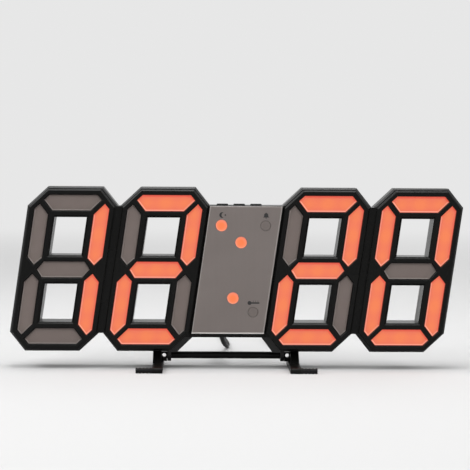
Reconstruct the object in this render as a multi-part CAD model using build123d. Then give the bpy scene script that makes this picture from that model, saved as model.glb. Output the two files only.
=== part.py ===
from build123d import *
import os
from math import cos, hypot, pi, radians, sin, sqrt, tan

# Digits: four leaning octagons, two pairs with the centre section between them
digit_half_height = 39.15
corner_cut_x = 8.43
corner_cut_z = 9.04
pair_pitch = 43.9
pair_gap = 1.1
slant_degrees = 8.0
underside = 7.85

# Housing: its depth, its joint plane and its walls
body_depth = 16.0
frame_depth = 5.0
plate = 3.0
wall = 1.6
floor = 2.0
edge_chamfer = 0.8
front_step = 1.2
front_chamfer = 0.6
front_wall = 0.9
seam = 0.5
link_setback = 1.6
bridge_half_height = 17.0
fit = 0.25
overrun = 1.0

# Windows of the seven segments
rim = 3.7
window_chamfer = 0.3
upright_width = 7.0
cap_width = 7.65
mitre_gap = 2.4
tip_half_gap = 2.0
outer_shoulder = 3.9
inner_shoulder = 3.4
middle_half_height = 3.9
middle_shoulder_inset = 1.0
middle_tip_reach = 1.9

# Holes right through each digit
hole_rib = 2.1
hole_near = 5.8
hole_end_rib = 2.0
hole_chamfer = 1.0
tube_wall = 1.0

# Diffusers, light wells and display boards
diffuser_setback = 1.2
diffuser_fit = 0.1
flange = 0.6
flange_thickness = 1.0
well_inset = 0.3
board_depth = 9.0
board_thickness = 1.6
led_width = 2.0
led_height = 1.2
led_thickness = 0.8
led_spacing_share = 0.3

# Bosses, posts and screws that hold the housing together
boss_inset = 5.0
boss_radius = 1.9
pilot_radius = 0.95
pilot_floor = 1.2
post_radius = 2.2
screw_bore_radius = 1.1
screw_radius = 0.9
screw_head_radius = 1.8
screw_head = 1.0
screw_sink = 1.2
screw_end_gap = 0.8

# Centre section and its panel
centre_half_width = 16.9
centre_bottom = -31.9
centre_top = 30.7
centre_setback = 0.4
panel_thickness = 1.6
panel_half_width = 17.15
panel_lip = 0.65
panel_bottom = -30.15
panel_top = 30.4
panel_edge = 0.5
panel_fit = 0.1

# Indicator light guides in the panel
lit_guide_radius = 2.7
dark_guide_radius = 2.35
guide_fit = 0.1
guide_length = 4.4
guide_gap = 0.2
guide_flange_thickness = 0.8
colon_z = 13.2
corner_dot_x = 10.45
upper_dot_z = 21.2
lower_dot_z = -19.75

# Main board and what it carries
main_board_thickness = 1.2
main_board_half_width = 14.5
main_board_bottom = -24.0
main_board_top = 27.0
main_post_x = 12.8
main_post_low = -3.5
main_post_high = 12.5
main_post_radius = 1.5
chip_side = 7.0
chip_thickness = 1.2
chip_place = (-5.0, -14.5)
crystal_radius = 1.0
crystal_length = 6.0
crystal_place = (-11.0, -19.0)
buzzer_radius = 4.5
buzzer_thickness = 4.0
buzzer_hole_radius = 1.0
buzzer_place = (5.5, -15.0)
sensor_radius = 1.2
sensor_thickness = 1.6
sensor_place = (-0.5, -21.5)

# Clock cell, its holder and the door behind it
door_z = 4.0
cell_radius = 10.0
cell_share = 0.508
holder_wall = 1.2
holder_floor_share = 0.3175
holder_fit = 0.2
holder_notch = 6.0
door_radius = 12.5
door_thickness = 1.2
door_hub_radius = 10.5
door_fit = 0.2
door_lug_radius = 11.9
door_lug_angle = 30.0
door_lug_thickness = 0.9
door_lug_gap = 0.2
door_turn = 45.0
door_play = 2.0
door_slot_length = 9.0
door_slot_width = 1.8
door_slot_depth = 0.7
hub_inner_depth = 0.9

# Buttons on the top of the centre section and the switches under them
button_pitch = 8.0
button_middle_x = 1.0
button_width = 5.5
button_length = 4.0
button_proud = 0.65
button_corner = 1.0
button_fit = 0.15
button_flange = 0.6
button_flange_thickness = 1.0
button_flange_gap = 0.1
button_stem_radius = 1.2
button_travel = 0.5
switch_width = 6.0
switch_height = 4.0
switch_half_depth = 1.8
switch_drop = 3.6
plunger_radius = 1.1
plunger_fit = 0.1
plunger_proud = 1.0
plunger_hold = 1.5

# Supply socket and the plug in it
socket_x = -8.0
socket_rise = 4.2
socket_width = 7.6
socket_height = 5.0
socket_front_gap = 1.8
socket_end = 1.2
bore_radius = 1.85
socket_opening_radius = 3.0
barrel_radius = 1.75
barrel_end_gap = 0.5
barrel_bore_radius = 0.7
grip_radius = 3.9
grip_length = 14.0
grip_edge = 0.8
relief_radius = 2.6
relief_end_radius = 1.7
relief_length = 12.0

# Ribbon jumpers between the boards
ribbon_thickness = 0.3
ribbon_width = 8.0
ribbon_z = -10.5
ribbon_pad = 1.6
ribbon_slack = 0.9

# Stand: a bracket that turns on its own cross bar
stand_x = -4.9
stand_depth = 42.0
front_setback = 17.1
shaft_inset = 1.8
shaft_height = 5.1
shaft_radius = 1.7
leg_inner = 30.9
leg_width = 3.9
runner_flare = 1.1
runner_height = 2.6
leg_top_gap = 0.15
leg_shoulder_front = 7.0
leg_slope = 6.0
web_reach = 2.6
web_thickness = 2.4
web_drop = 1.2
web_hole_radius = 0.95
peg_radius = 0.8
peg_length = 7.5
sleeve_radius = 1.3
sleeve_fit = 0.02
sleeve_gap = 0.1
sleeve_rib = 0.2
sleeve_ribs = 5
clip_offset = 27.2
clip_width = 1.8
clip_wall = 1.3
clip_fit = 0.08
clip_mouth = 2.6
clip_rise = 8.0
lug_reach = 0.4
lug_drop = 2.3
lug_foot_inset = 6.0
lug_foot_drop = 0.45
lug_length = 4.0

# Supply cord, its coil, the tie round it and the plug on its far end
cord_radius = 1.2
rest_gap = 0.05
exit_run = 8.4
arc_share = 0.45
coil_x = 12.25
coil_y = 165.0
coil_pitch = 2.85
coil_middle_radius = 14.4
coil_layers = 4
layer_turns = 2.5
climb_turns = 0.5
start_turns = 0.25
way_turns = 0.02
tie_thickness = 0.8
tie_width = 4.0
tie_clearance = 0.3
tie_head = 3.0
tie_head_width = 5.0
end_plug_length = 22.0
end_plug_width = 15.6
end_plug_height = 8.0
end_plug_corner = 2.5
end_plug_nose = 1.0
end_relief_length = 7.0
shell_length = 18.6
shell_width = 12.0
shell_height = 4.5
shell_wall = 0.4
tongue_height = 1.8
tongue_gap = 0.3
shell_sink = 3.0

# Sizes that follow from the others
lean_share = tan(radians(slant_degrees))
mid_height = underside + digit_half_height
digit_half_width = (pair_pitch - pair_gap) / 2
window_inner_x = digit_half_width - rim - upright_width
hole_half_width = window_inner_x - hole_rib
window_inner_z = digit_half_height - rim - cap_width
hole_far = window_inner_z - hole_end_rib
boss_x = digit_half_width - boss_inset
front_y = front_setback - stand_depth / 2
socket_z = mid_height + centre_bottom + socket_rise
centre_pitch = 2 * (centre_half_width + digit_half_width)
centre_reach = centre_half_width + corner_cut_x / 2
link_half_height = digit_half_height - corner_cut_z
outer_place = centre_pitch / 2 + pair_pitch
digit_places = [-outer_place, -centre_pitch / 2, centre_pitch / 2, outer_place]
pair_places = [-(outer_place + centre_pitch / 2) / 2, (outer_place + centre_pitch / 2) / 2]
lit_segments = ["BC", "ABDEG", "ABDEG", "ABCDEF"]
cavity_back = body_depth - floor
board_back = board_depth + board_thickness
main_board_depth = guide_length + guide_gap + led_thickness
main_board_back = main_board_depth + main_board_thickness
door_inner = cavity_back - door_lug_gap - door_lug_thickness
cell_thickness = (door_inner - main_board_back) * cell_share
holder_floor = (door_inner - main_board_back) * holder_floor_share
button_depth = main_board_back + switch_half_depth
socket_length = cavity_back - plate - socket_front_gap
bore_length = socket_length - socket_end
barrel_length = bore_length - barrel_end_gap
shaft_depth = body_depth - shaft_inset
coil_step_turns = coil_layers * layer_turns - climb_turns
coil_inner_radius = coil_middle_radius - layer_turns / 2 * coil_pitch
coil_outer_radius = coil_middle_radius + layer_turns / 2 * coil_pitch
coil_start_radius = coil_outer_radius - start_turns * coil_pitch
coil_bottom = rest_gap + tie_thickness + tie_clearance + cord_radius
coil_top = coil_bottom + (coil_layers - 1) * coil_pitch
cord_diameter = 2 * cord_radius


def depth(distance):
    """Y of a plane that lies a distance behind the front face."""
    return front_y + distance


def leaned(points, centre=0):
    """Points about a digit's centre, leaned and set at their height."""
    return [(centre + x + z * lean_share, mid_height + z) for x, z in points]


def place(x, z, centre=0):
    """Location in the X and Z plane of a point that leans with its digit."""
    return Pos(*leaned([(x, z)], centre)[0])


def outline(points, centre=0):
    """Leaned face with the given corners."""
    return make_face(Polyline(*leaned(points, centre), close=True))


def slab(face, front, back):
    """Solid of a face in X and Z, between two depths behind the front face."""
    return extrude(Plane.XZ.offset(-depth(back)) * face, back - front)


def eased(solid, side, size):
    """Slab with the edges round its front (0) or back (-1) face chamfered."""
    return chamfer(solid.faces().sort_by(Axis.Y)[side].edges(), size)


def mirrored(points, in_x, in_z):
    """Outline turned over across the digit's middle lines."""
    return [(x * in_x, z * in_z) for x, z in points]


def octagon(inset=0):
    """Corners of a digit's outline, moved inwards by an inset."""
    normal = hypot(1 / corner_cut_x, 1 / corner_cut_z)
    cut_x = corner_cut_x - inset * (1 + corner_cut_x / corner_cut_z - corner_cut_x * normal)
    cut_z = corner_cut_z - inset * (1 + corner_cut_z / corner_cut_x - corner_cut_z * normal)
    side = digit_half_width - inset
    top = digit_half_height - inset
    quarter = [(side, top - cut_z), (side - cut_x, top)]
    upper = quarter + mirrored(reversed(quarter), -1, 1)
    return upper + mirrored(upper, -1, -1)


def rectangle(half_width, low, high):
    """Corners of a rectangle that is centred in x."""
    return [(half_width, low), (half_width, high), (-half_width, high), (-half_width, low)]


def segment_outlines():
    """Outlines of a digit's seven windows, by letter."""
    low_cut, high_cut = octagon(rim)[:2]
    middle = ((low_cut[0] + high_cut[0]) / 2, (low_cut[1] + high_cut[1]) / 2)
    share = mitre_gap / 2 / hypot(high_cut[0] - low_cut[0], high_cut[1] - low_cut[1])
    step = ((high_cut[0] - low_cut[0]) * share, (high_cut[1] - low_cut[1]) * share)
    upper = (middle[0] + step[0], middle[1] + step[1])
    lower = (middle[0] - step[0], middle[1] - step[1])
    side = digit_half_width - rim
    inner_x = window_inner_x
    inner_z = window_inner_z
    slope = (middle[1] - inner_z) / (middle[0] - inner_x)
    cap_end = (upper[0] - (upper[1] - inner_z) / slope, inner_z)
    right = [high_cut, upper, cap_end]
    cap = right + mirrored(reversed(right), -1, 1)
    upright = [
        lower,
        low_cut,
        (side, tip_half_gap + outer_shoulder),
        (side - upright_width / 2, tip_half_gap),
        (inner_x, tip_half_gap + inner_shoulder),
        (inner_x, lower[1] - (lower[0] - inner_x) * slope),
    ]
    shoulder = inner_x - middle_shoulder_inset
    half = [(shoulder, -middle_half_height), (inner_x + middle_tip_reach, 0), (shoulder, middle_half_height)]
    return {
        "A": cap,
        "B": upright,
        "C": mirrored(upright, 1, -1),
        "D": mirrored(cap, 1, -1),
        "E": mirrored(upright, -1, -1),
        "F": mirrored(upright, -1, 1),
        "G": half + mirrored(half, -1, -1),
    }


def hole_outline(side, margin):
    """Corners of a digit's upper (1) or lower (-1) hole, widened by a margin."""
    low = hole_near - margin
    high = hole_far + margin
    return mirrored(rectangle(hole_half_width + margin, low, high), 1, side)


def hole_slabs(margin, front, back):
    """Slabs of all eight holes, widened by a margin."""
    faces = [outline(hole_outline(side, margin), x) for x in digit_places for side in (1, -1)]
    return [slab(face, front, back) for face in faces]


def throat_cutters(front, back):
    """Cutters of the eight holes inside their chamfers."""
    return hole_slabs(-hole_chamfer, front - overrun, back + overrun)


def window_chamfers():
    """Cutters of the chamfers round the front edges of all windows."""
    faces = [offset(outline(window, x), window_chamfer, kind=Kind.INTERSECTION)
             for x in digit_places for window in segment_outlines().values()]
    return [eased(slab(face, -overrun, window_chamfer), -1, window_chamfer) for face in faces]


def screw_places(x):
    """The two screw places of a digit, beside its middle bar."""
    return [place(side * boss_x, 0, x) for side in (-1, 1)]


def pins(radius, front, back, places):
    """Round pins along Y at the given places."""
    return [slab(spot * Circle(radius), front, back) for spot in places]


def digit_pins(radius, front, back):
    """Round pins at the screw places of all digits."""
    return [pin for x in digit_places for pin in pins(radius, front, back, screw_places(x))]


def main_post_places():
    """The four places where posts hold the main board."""
    return [place(x, z) for x in (-main_post_x, main_post_x) for z in (main_post_low, main_post_high)]


def housing_slabs(front, back, inset=0, digit_inset=0):
    """Slabs of the whole housing outline: digits, links and centre section."""
    slabs = [slab(outline(octagon(digit_inset), x), front, back) for x in digit_places]
    link = rectangle(pair_pitch / 2, inset - link_half_height, link_half_height - inset)
    slabs += [slab(outline(link, x), front, back) for x in pair_places]
    centre = rectangle(centre_reach, centre_bottom + inset, centre_top - inset)
    return slabs + [slab(outline(centre), front, back)]


def cavity_slabs(front, back, digit_inset=wall):
    """Slabs of the room inside the walls."""
    slabs = [slab(outline(octagon(digit_inset), x), front, back) for x in digit_places]
    link = rectangle(pair_pitch / 2, -bridge_half_height, bridge_half_height)
    slabs += [slab(outline(link, x), front, back) for x in pair_places]
    centre = rectangle(centre_half_width - wall, centre_bottom + wall, centre_top - wall)
    passage = rectangle(centre_reach, -bridge_half_height, bridge_half_height)
    return slabs + [slab(outline(centre), front, back), slab(outline(passage), front, back)]


def fused(pieces):
    """One solid from pieces that touch."""
    return pieces[0] + pieces[1:]


def panel_outline(margin=0):
    """Outline of the centre panel, widened by a margin."""
    half = panel_half_width + margin
    return outline(rectangle(half, panel_bottom - margin, panel_top + margin))


def guide_places():
    """Places of the lit and of the dark indicators."""
    lit = [place(-corner_dot_x, upper_dot_z), place(0, colon_z), place(0, -colon_z)]
    dark = [place(corner_dot_x, upper_dot_z), place(corner_dot_x, lower_dot_z)]
    return lit, dark


def guide_holes(front, back):
    """Cutters of the five indicator holes."""
    lit, dark = guide_places()
    holes = pins(lit_guide_radius + guide_fit, front, back, lit)
    return holes + pins(dark_guide_radius + guide_fit, front, back, dark)


def front_frame():
    """Front half of the housing, with its windows, hole rims and screw bosses."""
    slabs = [eased(slab(outline(octagon(front_step), x), 0, frame_depth - seam), 0, front_chamfer)
             for x in digit_places]
    link = rectangle(pair_pitch / 2, -link_half_height, link_half_height)
    slabs += [slab(outline(link, x), link_setback, frame_depth - seam) for x in pair_places]
    side_strips = rectangle(centre_reach, centre_bottom, centre_top)
    slabs += [slab(outline(side_strips), link_setback, frame_depth - seam)]
    centre = rectangle(panel_half_width + panel_lip, centre_bottom, centre_top)
    slabs += [eased(slab(outline(centre), centre_setback, frame_depth - seam), 0, centre_setback)]
    groove = housing_slabs(frame_depth - 2 * seam, frame_depth, seam, front_step + seam)
    body = fused(slabs + groove)
    body -= cavity_slabs(plate, frame_depth + overrun, front_step + front_wall)
    body += hole_slabs(tube_wall - hole_chamfer, plate, frame_depth)
    body += digit_pins(boss_radius, plate, board_depth)
    body += pins(main_post_radius, plate, main_board_depth, main_post_places())
    windows = segment_outlines().values()
    body -= [slab(outline(window, x), -overrun, plate) for x in digit_places for window in windows]
    body -= window_chamfers()
    body -= throat_cutters(0, frame_depth)
    body -= [eased(cutter, -1, hole_chamfer) for cutter in hole_slabs(0, -overrun, hole_chamfer)]
    body -= digit_pins(pilot_radius, plate + pilot_floor, board_depth + overrun)
    body -= slab(panel_outline(panel_fit), -overrun, panel_thickness)
    return body - guide_holes(0, plate + overrun)


def door_ring(radius, front, back):
    """Disc about the door's axis."""
    return slab(place(0, door_z) * Circle(radius), front, back)


def door_sectors(radius, angle, turn, front, back):
    """Two opposite sectors about the door's axis, each of the given angle."""
    reach = radius / cos(radians(angle / 2))
    half = radians(angle / 2)
    wedge = [(0, 0), (reach * cos(half), -reach * sin(half)), (reach * cos(half), reach * sin(half))]
    face = make_face(Polyline(*wedge, close=True)) & Circle(radius)
    both = [slab(place(0, door_z) * Rot(0, 0, turn + side) * face, front, back) for side in (0, 180)]
    return both


def button_middles():
    """X of the three buttons."""
    return [button_middle_x + step * button_pitch for step in (-1, 0, 1)]


def upright_prism(face, x, low, high):
    """Solid of a face in X and Y at a button, between two heights."""
    return extrude(Pos(x, depth(button_depth), low) * face, high - low)


def button_face(margin):
    """Outline of a button from above."""
    return RectangleRounded(button_width + 2 * margin, button_length + 2 * margin, button_corner)


def clip_block(x):
    """Hook under the cover that holds the stand's cross bar, still without its bore."""
    radius = shaft_radius + clip_fit + clip_wall
    back = depth(body_depth) - depth(shaft_depth)
    shank = Polyline((-radius, 0), (back, 0), (back, clip_rise), (-radius, clip_rise), close=True)
    face = Circle(radius) + make_face(shank)
    start = Plane(origin=(x - clip_width / 2, depth(shaft_depth), shaft_height), x_dir=(0, 1, 0),
                  z_dir=(1, 0, 0))
    return extrude(start * face, clip_width)


def clip_bore(x):
    """Bore of a hook and the mouth that the cross bar snaps through."""
    radius = shaft_radius + clip_fit
    drop = radius + clip_wall + overrun
    face = Circle(radius) + Pos(0, -drop / 2) * Rectangle(clip_mouth, drop)
    start = Plane(origin=(x - clip_width / 2 - overrun, depth(shaft_depth), shaft_height),
                  x_dir=(0, 1, 0), z_dir=(1, 0, 0))
    return extrude(start * face, clip_width + 2 * overrun)


def clip_places():
    """X of the two hooks."""
    return [stand_x - clip_offset, stand_x + clip_offset]


def stand_lug(side):
    """Slanting lug over the stand's cross bar, under the inner corner of a middle digit."""
    low_cut = octagon()[0]
    top = -low_cut[1]
    foot = -digit_half_height - lug_foot_drop
    reach = digit_half_width + lug_reach
    tip = digit_half_width - lug_foot_inset
    points = [(digit_half_width - wall, top), (reach - lug_reach, top), (reach, top - lug_drop), (tip, foot),
              (tip - lug_length, foot), (tip - lug_length, foot + lug_length)]
    face = outline(mirrored(points, -side, 1), side * centre_pitch / 2)
    return eased(slab(face, frame_depth, body_depth), -1, edge_chamfer)


def rear_cover():
    """Rear half of the housing, with the walls of the holes, posts, hooks and openings."""
    shells = [eased(piece, -1, edge_chamfer) for piece in housing_slabs(frame_depth, body_depth)]
    digits = [eased(piece, 0, edge_chamfer) for piece in shells[:len(digit_places)]]
    body = fused(digits + shells[len(digit_places):])
    body += [stand_lug(side) for side in (-1, 1)]
    body += [clip_block(x) for x in clip_places()]
    body -= cavity_slabs(frame_depth - overrun, cavity_back)
    body += hole_slabs(tube_wall - hole_chamfer, frame_depth, cavity_back)
    body += digit_pins(post_radius, board_back, cavity_back)
    body += pins(main_post_radius, main_board_back, cavity_back, main_post_places())
    body -= throat_cutters(frame_depth, body_depth)
    body -= [eased(cutter, 0, hole_chamfer)
             for cutter in hole_slabs(0, body_depth - hole_chamfer, body_depth + overrun)]
    body -= digit_pins(screw_bore_radius, board_back - overrun, body_depth + overrun)
    body -= digit_pins(screw_head_radius + fit, body_depth - screw_sink, body_depth + overrun)
    body -= door_ring(door_hub_radius + door_fit, cavity_back - overrun, body_depth + overrun)
    body -= door_ring(door_radius + door_fit, body_depth - door_thickness, body_depth + overrun)
    body -= door_sectors(door_lug_radius + door_fit, door_lug_angle + door_play, -door_turn,
                         cavity_back - overrun, body_depth)
    body -= [upright_prism(button_face(button_fit), x, mid_height + centre_top - 2 * wall,
                           mid_height + centre_top + overrun) for x in button_middles()]
    body -= slab(Pos(socket_x, socket_z) * Circle(socket_opening_radius), cavity_back - overrun,
                 body_depth + overrun)
    return body - [clip_bore(x) for x in clip_places()]


def diffuser(points, x):
    """Milky insert of one segment, with the flange that seats behind the frame."""
    window = outline(points, x)
    face = offset(window, -diffuser_fit, kind=Kind.INTERSECTION)
    foot = offset(window, flange, kind=Kind.INTERSECTION)
    return slab(face, diffuser_setback, plate) + slab(foot, plate, plate + flange_thickness)


def diffusers(number, lit):
    """The lit or the dark inserts of a digit."""
    names = [name for name in "ABCDEFG" if (name in lit_segments[number]) == lit]
    outlines = segment_outlines()
    return [diffuser(outlines[name], digit_places[number]) for name in names]


def reflector(x):
    """White block behind a digit, with a light well for each segment."""
    front = plate + flange_thickness
    body = slab(outline(octagon(front_step + front_wall + fit), x), front, board_depth)
    margin = tube_wall - hole_chamfer + fit
    body -= [slab(outline(hole_outline(side, margin), x), front - overrun, board_depth + overrun)
             for side in (1, -1)]
    wells = [offset(outline(points, x), -well_inset, kind=Kind.INTERSECTION)
             for points in segment_outlines().values()]
    body -= [slab(well, front - overrun, board_depth + overrun) for well in wells]
    return body - pins(boss_radius + fit, front - overrun, board_depth + overrun, screw_places(x))


def display_board(side):
    """Circuit board behind the two digits of one side."""
    places = digit_places[:2] if side < 0 else digit_places[2:]
    body = fused([slab(outline(octagon(wall + fit), x), board_depth, board_back) for x in places])
    half = bridge_half_height - fit
    body += slab(outline(rectangle(pair_pitch / 2, -half, half), sum(places) / 2), board_depth, board_back)
    margin = tube_wall - hole_chamfer + fit
    body -= [slab(outline(hole_outline(end, margin), x), board_depth - overrun, board_back + overrun)
             for x in places for end in (1, -1)]
    bores = [spot for x in places for spot in screw_places(x)]
    return body - pins(screw_bore_radius, board_depth - overrun, board_back + overrun, bores)


def led_places(x):
    """Places of three lights behind each segment of a digit."""
    spots = []
    for points in segment_outlines().values():
        xs = [point[0] for point in points]
        zs = [point[1] for point in points]
        middle = ((min(xs) + max(xs)) / 2, (min(zs) + max(zs)) / 2)
        reach = max(max(xs) - min(xs), max(zs) - min(zs)) * led_spacing_share
        along = (1, 0) if max(xs) - min(xs) > max(zs) - min(zs) else (0, 1)
        spots += [place(middle[0] + step * reach * along[0], middle[1] + step * reach * along[1], x)
                  for step in (-1, 0, 1)]
    return spots


def segment_leds(side):
    """Surface lights on the display board of one side."""
    places = digit_places[:2] if side < 0 else digit_places[2:]
    face = Rectangle(led_width, led_height)
    return [slab(spot * face, board_depth - led_thickness, board_depth)
            for x in places for spot in led_places(x)]


def centre_panel():
    """Grey plate on the centre section, with five holes for the indicators."""
    body = slab(panel_outline(), 0, panel_thickness)
    body = fillet(body.faces().sort_by(Axis.Y)[0].edges(), panel_edge)
    return body - guide_holes(-overrun, panel_thickness + overrun)


def guides(places, radius):
    """Light guides with a flange that seats behind the frame."""
    faces = pins(radius, 0, guide_length, places)
    flanges = pins(radius + flange, plate, plate + guide_flange_thickness, places)
    return [face + foot for face, foot in zip(faces, flanges)]


def main_board():
    """Circuit board behind the panel."""
    return slab(outline(rectangle(main_board_half_width, main_board_bottom, main_board_top)),
                main_board_depth, main_board_back)


def indicator_leds():
    """Surface lights behind the five light guides."""
    lit, dark = guide_places()
    face = Rectangle(led_width, led_height)
    return [slab(spot * face, main_board_depth - led_thickness, main_board_depth) for spot in lit + dark]


def on_main_board(face, spot, thickness):
    """Component of a given outline on the rear of the main board."""
    return slab(place(*spot) * face, main_board_back, main_board_back + thickness)


def crystal():
    """Can of the clock crystal, lying along the board."""
    x, z = leaned([crystal_place])[0]
    centre = Pos(x, depth(main_board_back + crystal_radius), z)
    return centre * Cylinder(crystal_radius, crystal_length)


def buzzer():
    """Round sounder with its hole."""
    body = on_main_board(Circle(buzzer_radius), buzzer_place, buzzer_thickness)
    x, z = leaned([buzzer_place])[0]
    hole = slab(Pos(x, z) * Circle(buzzer_hole_radius), main_board_back + buzzer_thickness / 2,
                main_board_back + buzzer_thickness + overrun)
    return body - hole


def cell_holder():
    """Cup for the clock cell, with a notch to lift it out."""
    back = main_board_back + holder_floor + cell_thickness
    inner = cell_radius + holder_fit
    body = door_ring(inner + holder_wall, main_board_back, back)
    body -= door_ring(inner, main_board_back + holder_floor, back + overrun)
    notch = place(0, door_z - inner) * Rectangle(holder_notch, 2 * holder_wall + holder_notch)
    return body - slab(notch, main_board_back + holder_floor, back + overrun)


def coin_cell():
    """Flat round cell with its stepped edge."""
    front = main_board_back + holder_floor
    step = cell_thickness / 4
    rim_radius = cell_radius - cell_thickness / 4
    return door_ring(rim_radius, front, front + step) + door_ring(cell_radius, front + step,
                                                                  front + cell_thickness)


def battery_door():
    """Round door with a coin slot and two lugs that turn under the cover."""
    lug_back = cavity_back - door_lug_gap
    lug_front = door_inner
    body = door_ring(door_radius, body_depth - door_thickness, body_depth)
    body += door_ring(door_hub_radius, lug_front, body_depth - door_thickness)
    body += door_sectors(door_lug_radius, door_lug_angle, 0, lug_front, lug_back)
    body -= door_ring(door_hub_radius - holder_wall, lug_front - overrun, lug_front + hub_inner_depth)
    slot = place(0, door_z) * SlotOverall(door_slot_length, door_slot_width)
    return body - slab(slot, body_depth - door_slot_depth, body_depth + overrun)


def button_heights():
    """Heights of a button's flange top, its stem end and its switch's top."""
    flange_top = mid_height + centre_top - wall - button_flange_gap
    stem_end = mid_height + centre_top - wall - switch_drop + plunger_proud
    return flange_top, stem_end, stem_end - plunger_proud


def button(x):
    """Button with its retaining flange and its stem."""
    flange_top, stem_end, _ = button_heights()
    top = mid_height + centre_top + button_proud
    body = upright_prism(button_face(0), x, flange_top, top)
    body = fillet(body.faces().sort_by(Axis.Z)[-1].edges(), panel_edge)
    body += upright_prism(button_face(button_flange), x, flange_top - button_flange_thickness, flange_top)
    return body + upright_prism(Circle(button_stem_radius), x, stem_end,
                                flange_top - button_flange_thickness)


def plunger(x):
    """Plunger that a button pushes into its switch."""
    _, stem_end, switch_top = button_heights()
    return upright_prism(Circle(plunger_radius), x, switch_top - plunger_hold, stem_end)


def tact_switch(x):
    """Switch body with the bore of its plunger."""
    switch_top = button_heights()[2]
    face = Rectangle(switch_width, 2 * switch_half_depth)
    bore_end = switch_top - plunger_hold - button_travel - plunger_fit
    return (upright_prism(face, x, switch_top - switch_height, switch_top)
            - upright_prism(Circle(plunger_radius + plunger_fit), x, bore_end, switch_top + overrun))


def supply_socket():
    """Socket behind the cover's opening."""
    body = slab(Pos(socket_x, socket_z) * Rectangle(socket_width, socket_height),
                cavity_back - socket_length, cavity_back)
    bore = slab(Pos(socket_x, socket_z) * Circle(bore_radius), cavity_back - bore_length,
                cavity_back + overrun)
    return body - bore


def on_plug_axis(radius, front, back):
    """Disc about the supply plug's axis, between two depths."""
    return slab(Pos(socket_x, socket_z) * Circle(radius), front, back)


def plug_barrel():
    """Metal barrel of the supply plug."""
    tip = body_depth - barrel_length - floor / 2
    body = on_plug_axis(barrel_radius, tip, body_depth)
    return body - on_plug_axis(barrel_bore_radius, tip - overrun, body_depth - floor)


def supply_plug():
    """Moulded grip of the supply plug."""
    body = on_plug_axis(grip_radius, body_depth, body_depth + grip_length)
    return chamfer(body.edges().filter_by(GeomType.CIRCLE), grip_edge)


def strain_relief():
    """Tapered relief with grooves, where the cord leaves the plug."""
    start = depth(body_depth + grip_length)
    cone = Cone(relief_radius, relief_end_radius, relief_length)
    body = Pos(socket_x, start + relief_length / 2, socket_z) * Rot(-90, 0, 0) * cone
    groove = relief_length / 8
    for step in (1, 2, 3):
        centre = start + relief_length * step / 4
        ring = Cylinder(relief_radius + overrun, groove) - Cylinder(relief_end_radius - overrun / 4, groove)
        cut = Rectangle(2 * relief_radius + overrun, groove)
        side = Pos(socket_x, centre, socket_z) * Rot(-90, 0, 0) * (ring & Box(*relief_slot_size(groove)))
        body -= side
    return body


def relief_slot_size(groove):
    """Size of the box that keeps a groove to the upper and lower side."""
    return (relief_radius, 4 * relief_radius, groove)


def ribbon(side):
    """Flat jumper from a display board to the main board."""
    board_edge = centre_half_width + wall + fit
    far = board_edge + ribbon_slack + ribbon_pad
    outer_bend = board_edge - ribbon_slack
    inner_bend = main_board_half_width + ribbon_slack
    near = main_board_half_width - ribbon_slack - ribbon_pad
    lift = ribbon_thickness
    rear = board_back
    front = main_board_back
    points = [
        (far, rear), (outer_bend, rear), (inner_bend, front), (near, front),
        (near, front + lift), (inner_bend, front + lift), (outer_bend, rear + lift),
        (far, rear + lift),
    ]
    shift = ribbon_z * lean_share
    corners = [(side * x + shift, depth(y)) for x, y in points]
    low = mid_height + ribbon_z - ribbon_width / 2
    return extrude(Pos(0, 0, low) * make_face(Polyline(*corners, close=True)), ribbon_width)


def leg_profile():
    """Side outline of a leg: runner, rise to the body, round about the bar, heel."""
    nose = runner_height / 2
    front = -stand_depth / 2
    back = stand_depth / 2
    shaft_y = depth(shaft_depth)
    top = underside - leg_top_gap
    shoulder = shaft_y - leg_shoulder_front
    radius = top - shaft_height
    nose_arc = ThreePointArc((front + nose, 0), (front, nose), (front + nose, runner_height))
    rise = Polyline((front + nose, runner_height), (shoulder - leg_slope, runner_height),
                    (shoulder, top), (shaft_y, top))
    diagonal = radius * sqrt(0.5)
    over = ThreePointArc((shaft_y, top), (shaft_y + diagonal, shaft_height + diagonal),
                         (shaft_y + radius, shaft_height))
    fall = Polyline((shaft_y + radius, shaft_height), (shaft_y + radius, runner_height),
                    (back - nose, runner_height))
    heel_arc = ThreePointArc((back - nose, runner_height), (back, nose), (back - nose, 0))
    base = Line((back - nose, 0), (front + nose, 0))
    return make_face(Wire([*nose_arc.edges(), *rise.edges(), *over.edges(), *fall.edges(),
                           *heel_arc.edges(), *base.edges()]))


def across(x):
    """Plane at X whose sketch lies in Y and Z and faces +X."""
    return Plane(origin=(x, 0, 0), x_dir=(0, 1, 0), z_dir=(1, 0, 0))


def stand_web(side):
    """Web between the cross bar and a leg, with its round hole."""
    shaft_y = depth(shaft_depth)
    low = shaft_height - shaft_radius - web_drop
    middle = stand_x + side * (leg_inner - web_reach / 2)
    top = shaft_height + shaft_radius
    body = Pos(middle, shaft_y, (low + top) / 2) * Box(web_reach, web_thickness, top - low)
    hole = Plane.XZ.offset(-shaft_y - web_thickness) * Pos(middle, shaft_height) * Circle(web_hole_radius)
    return body, extrude(hole, 2 * web_thickness)


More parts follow.
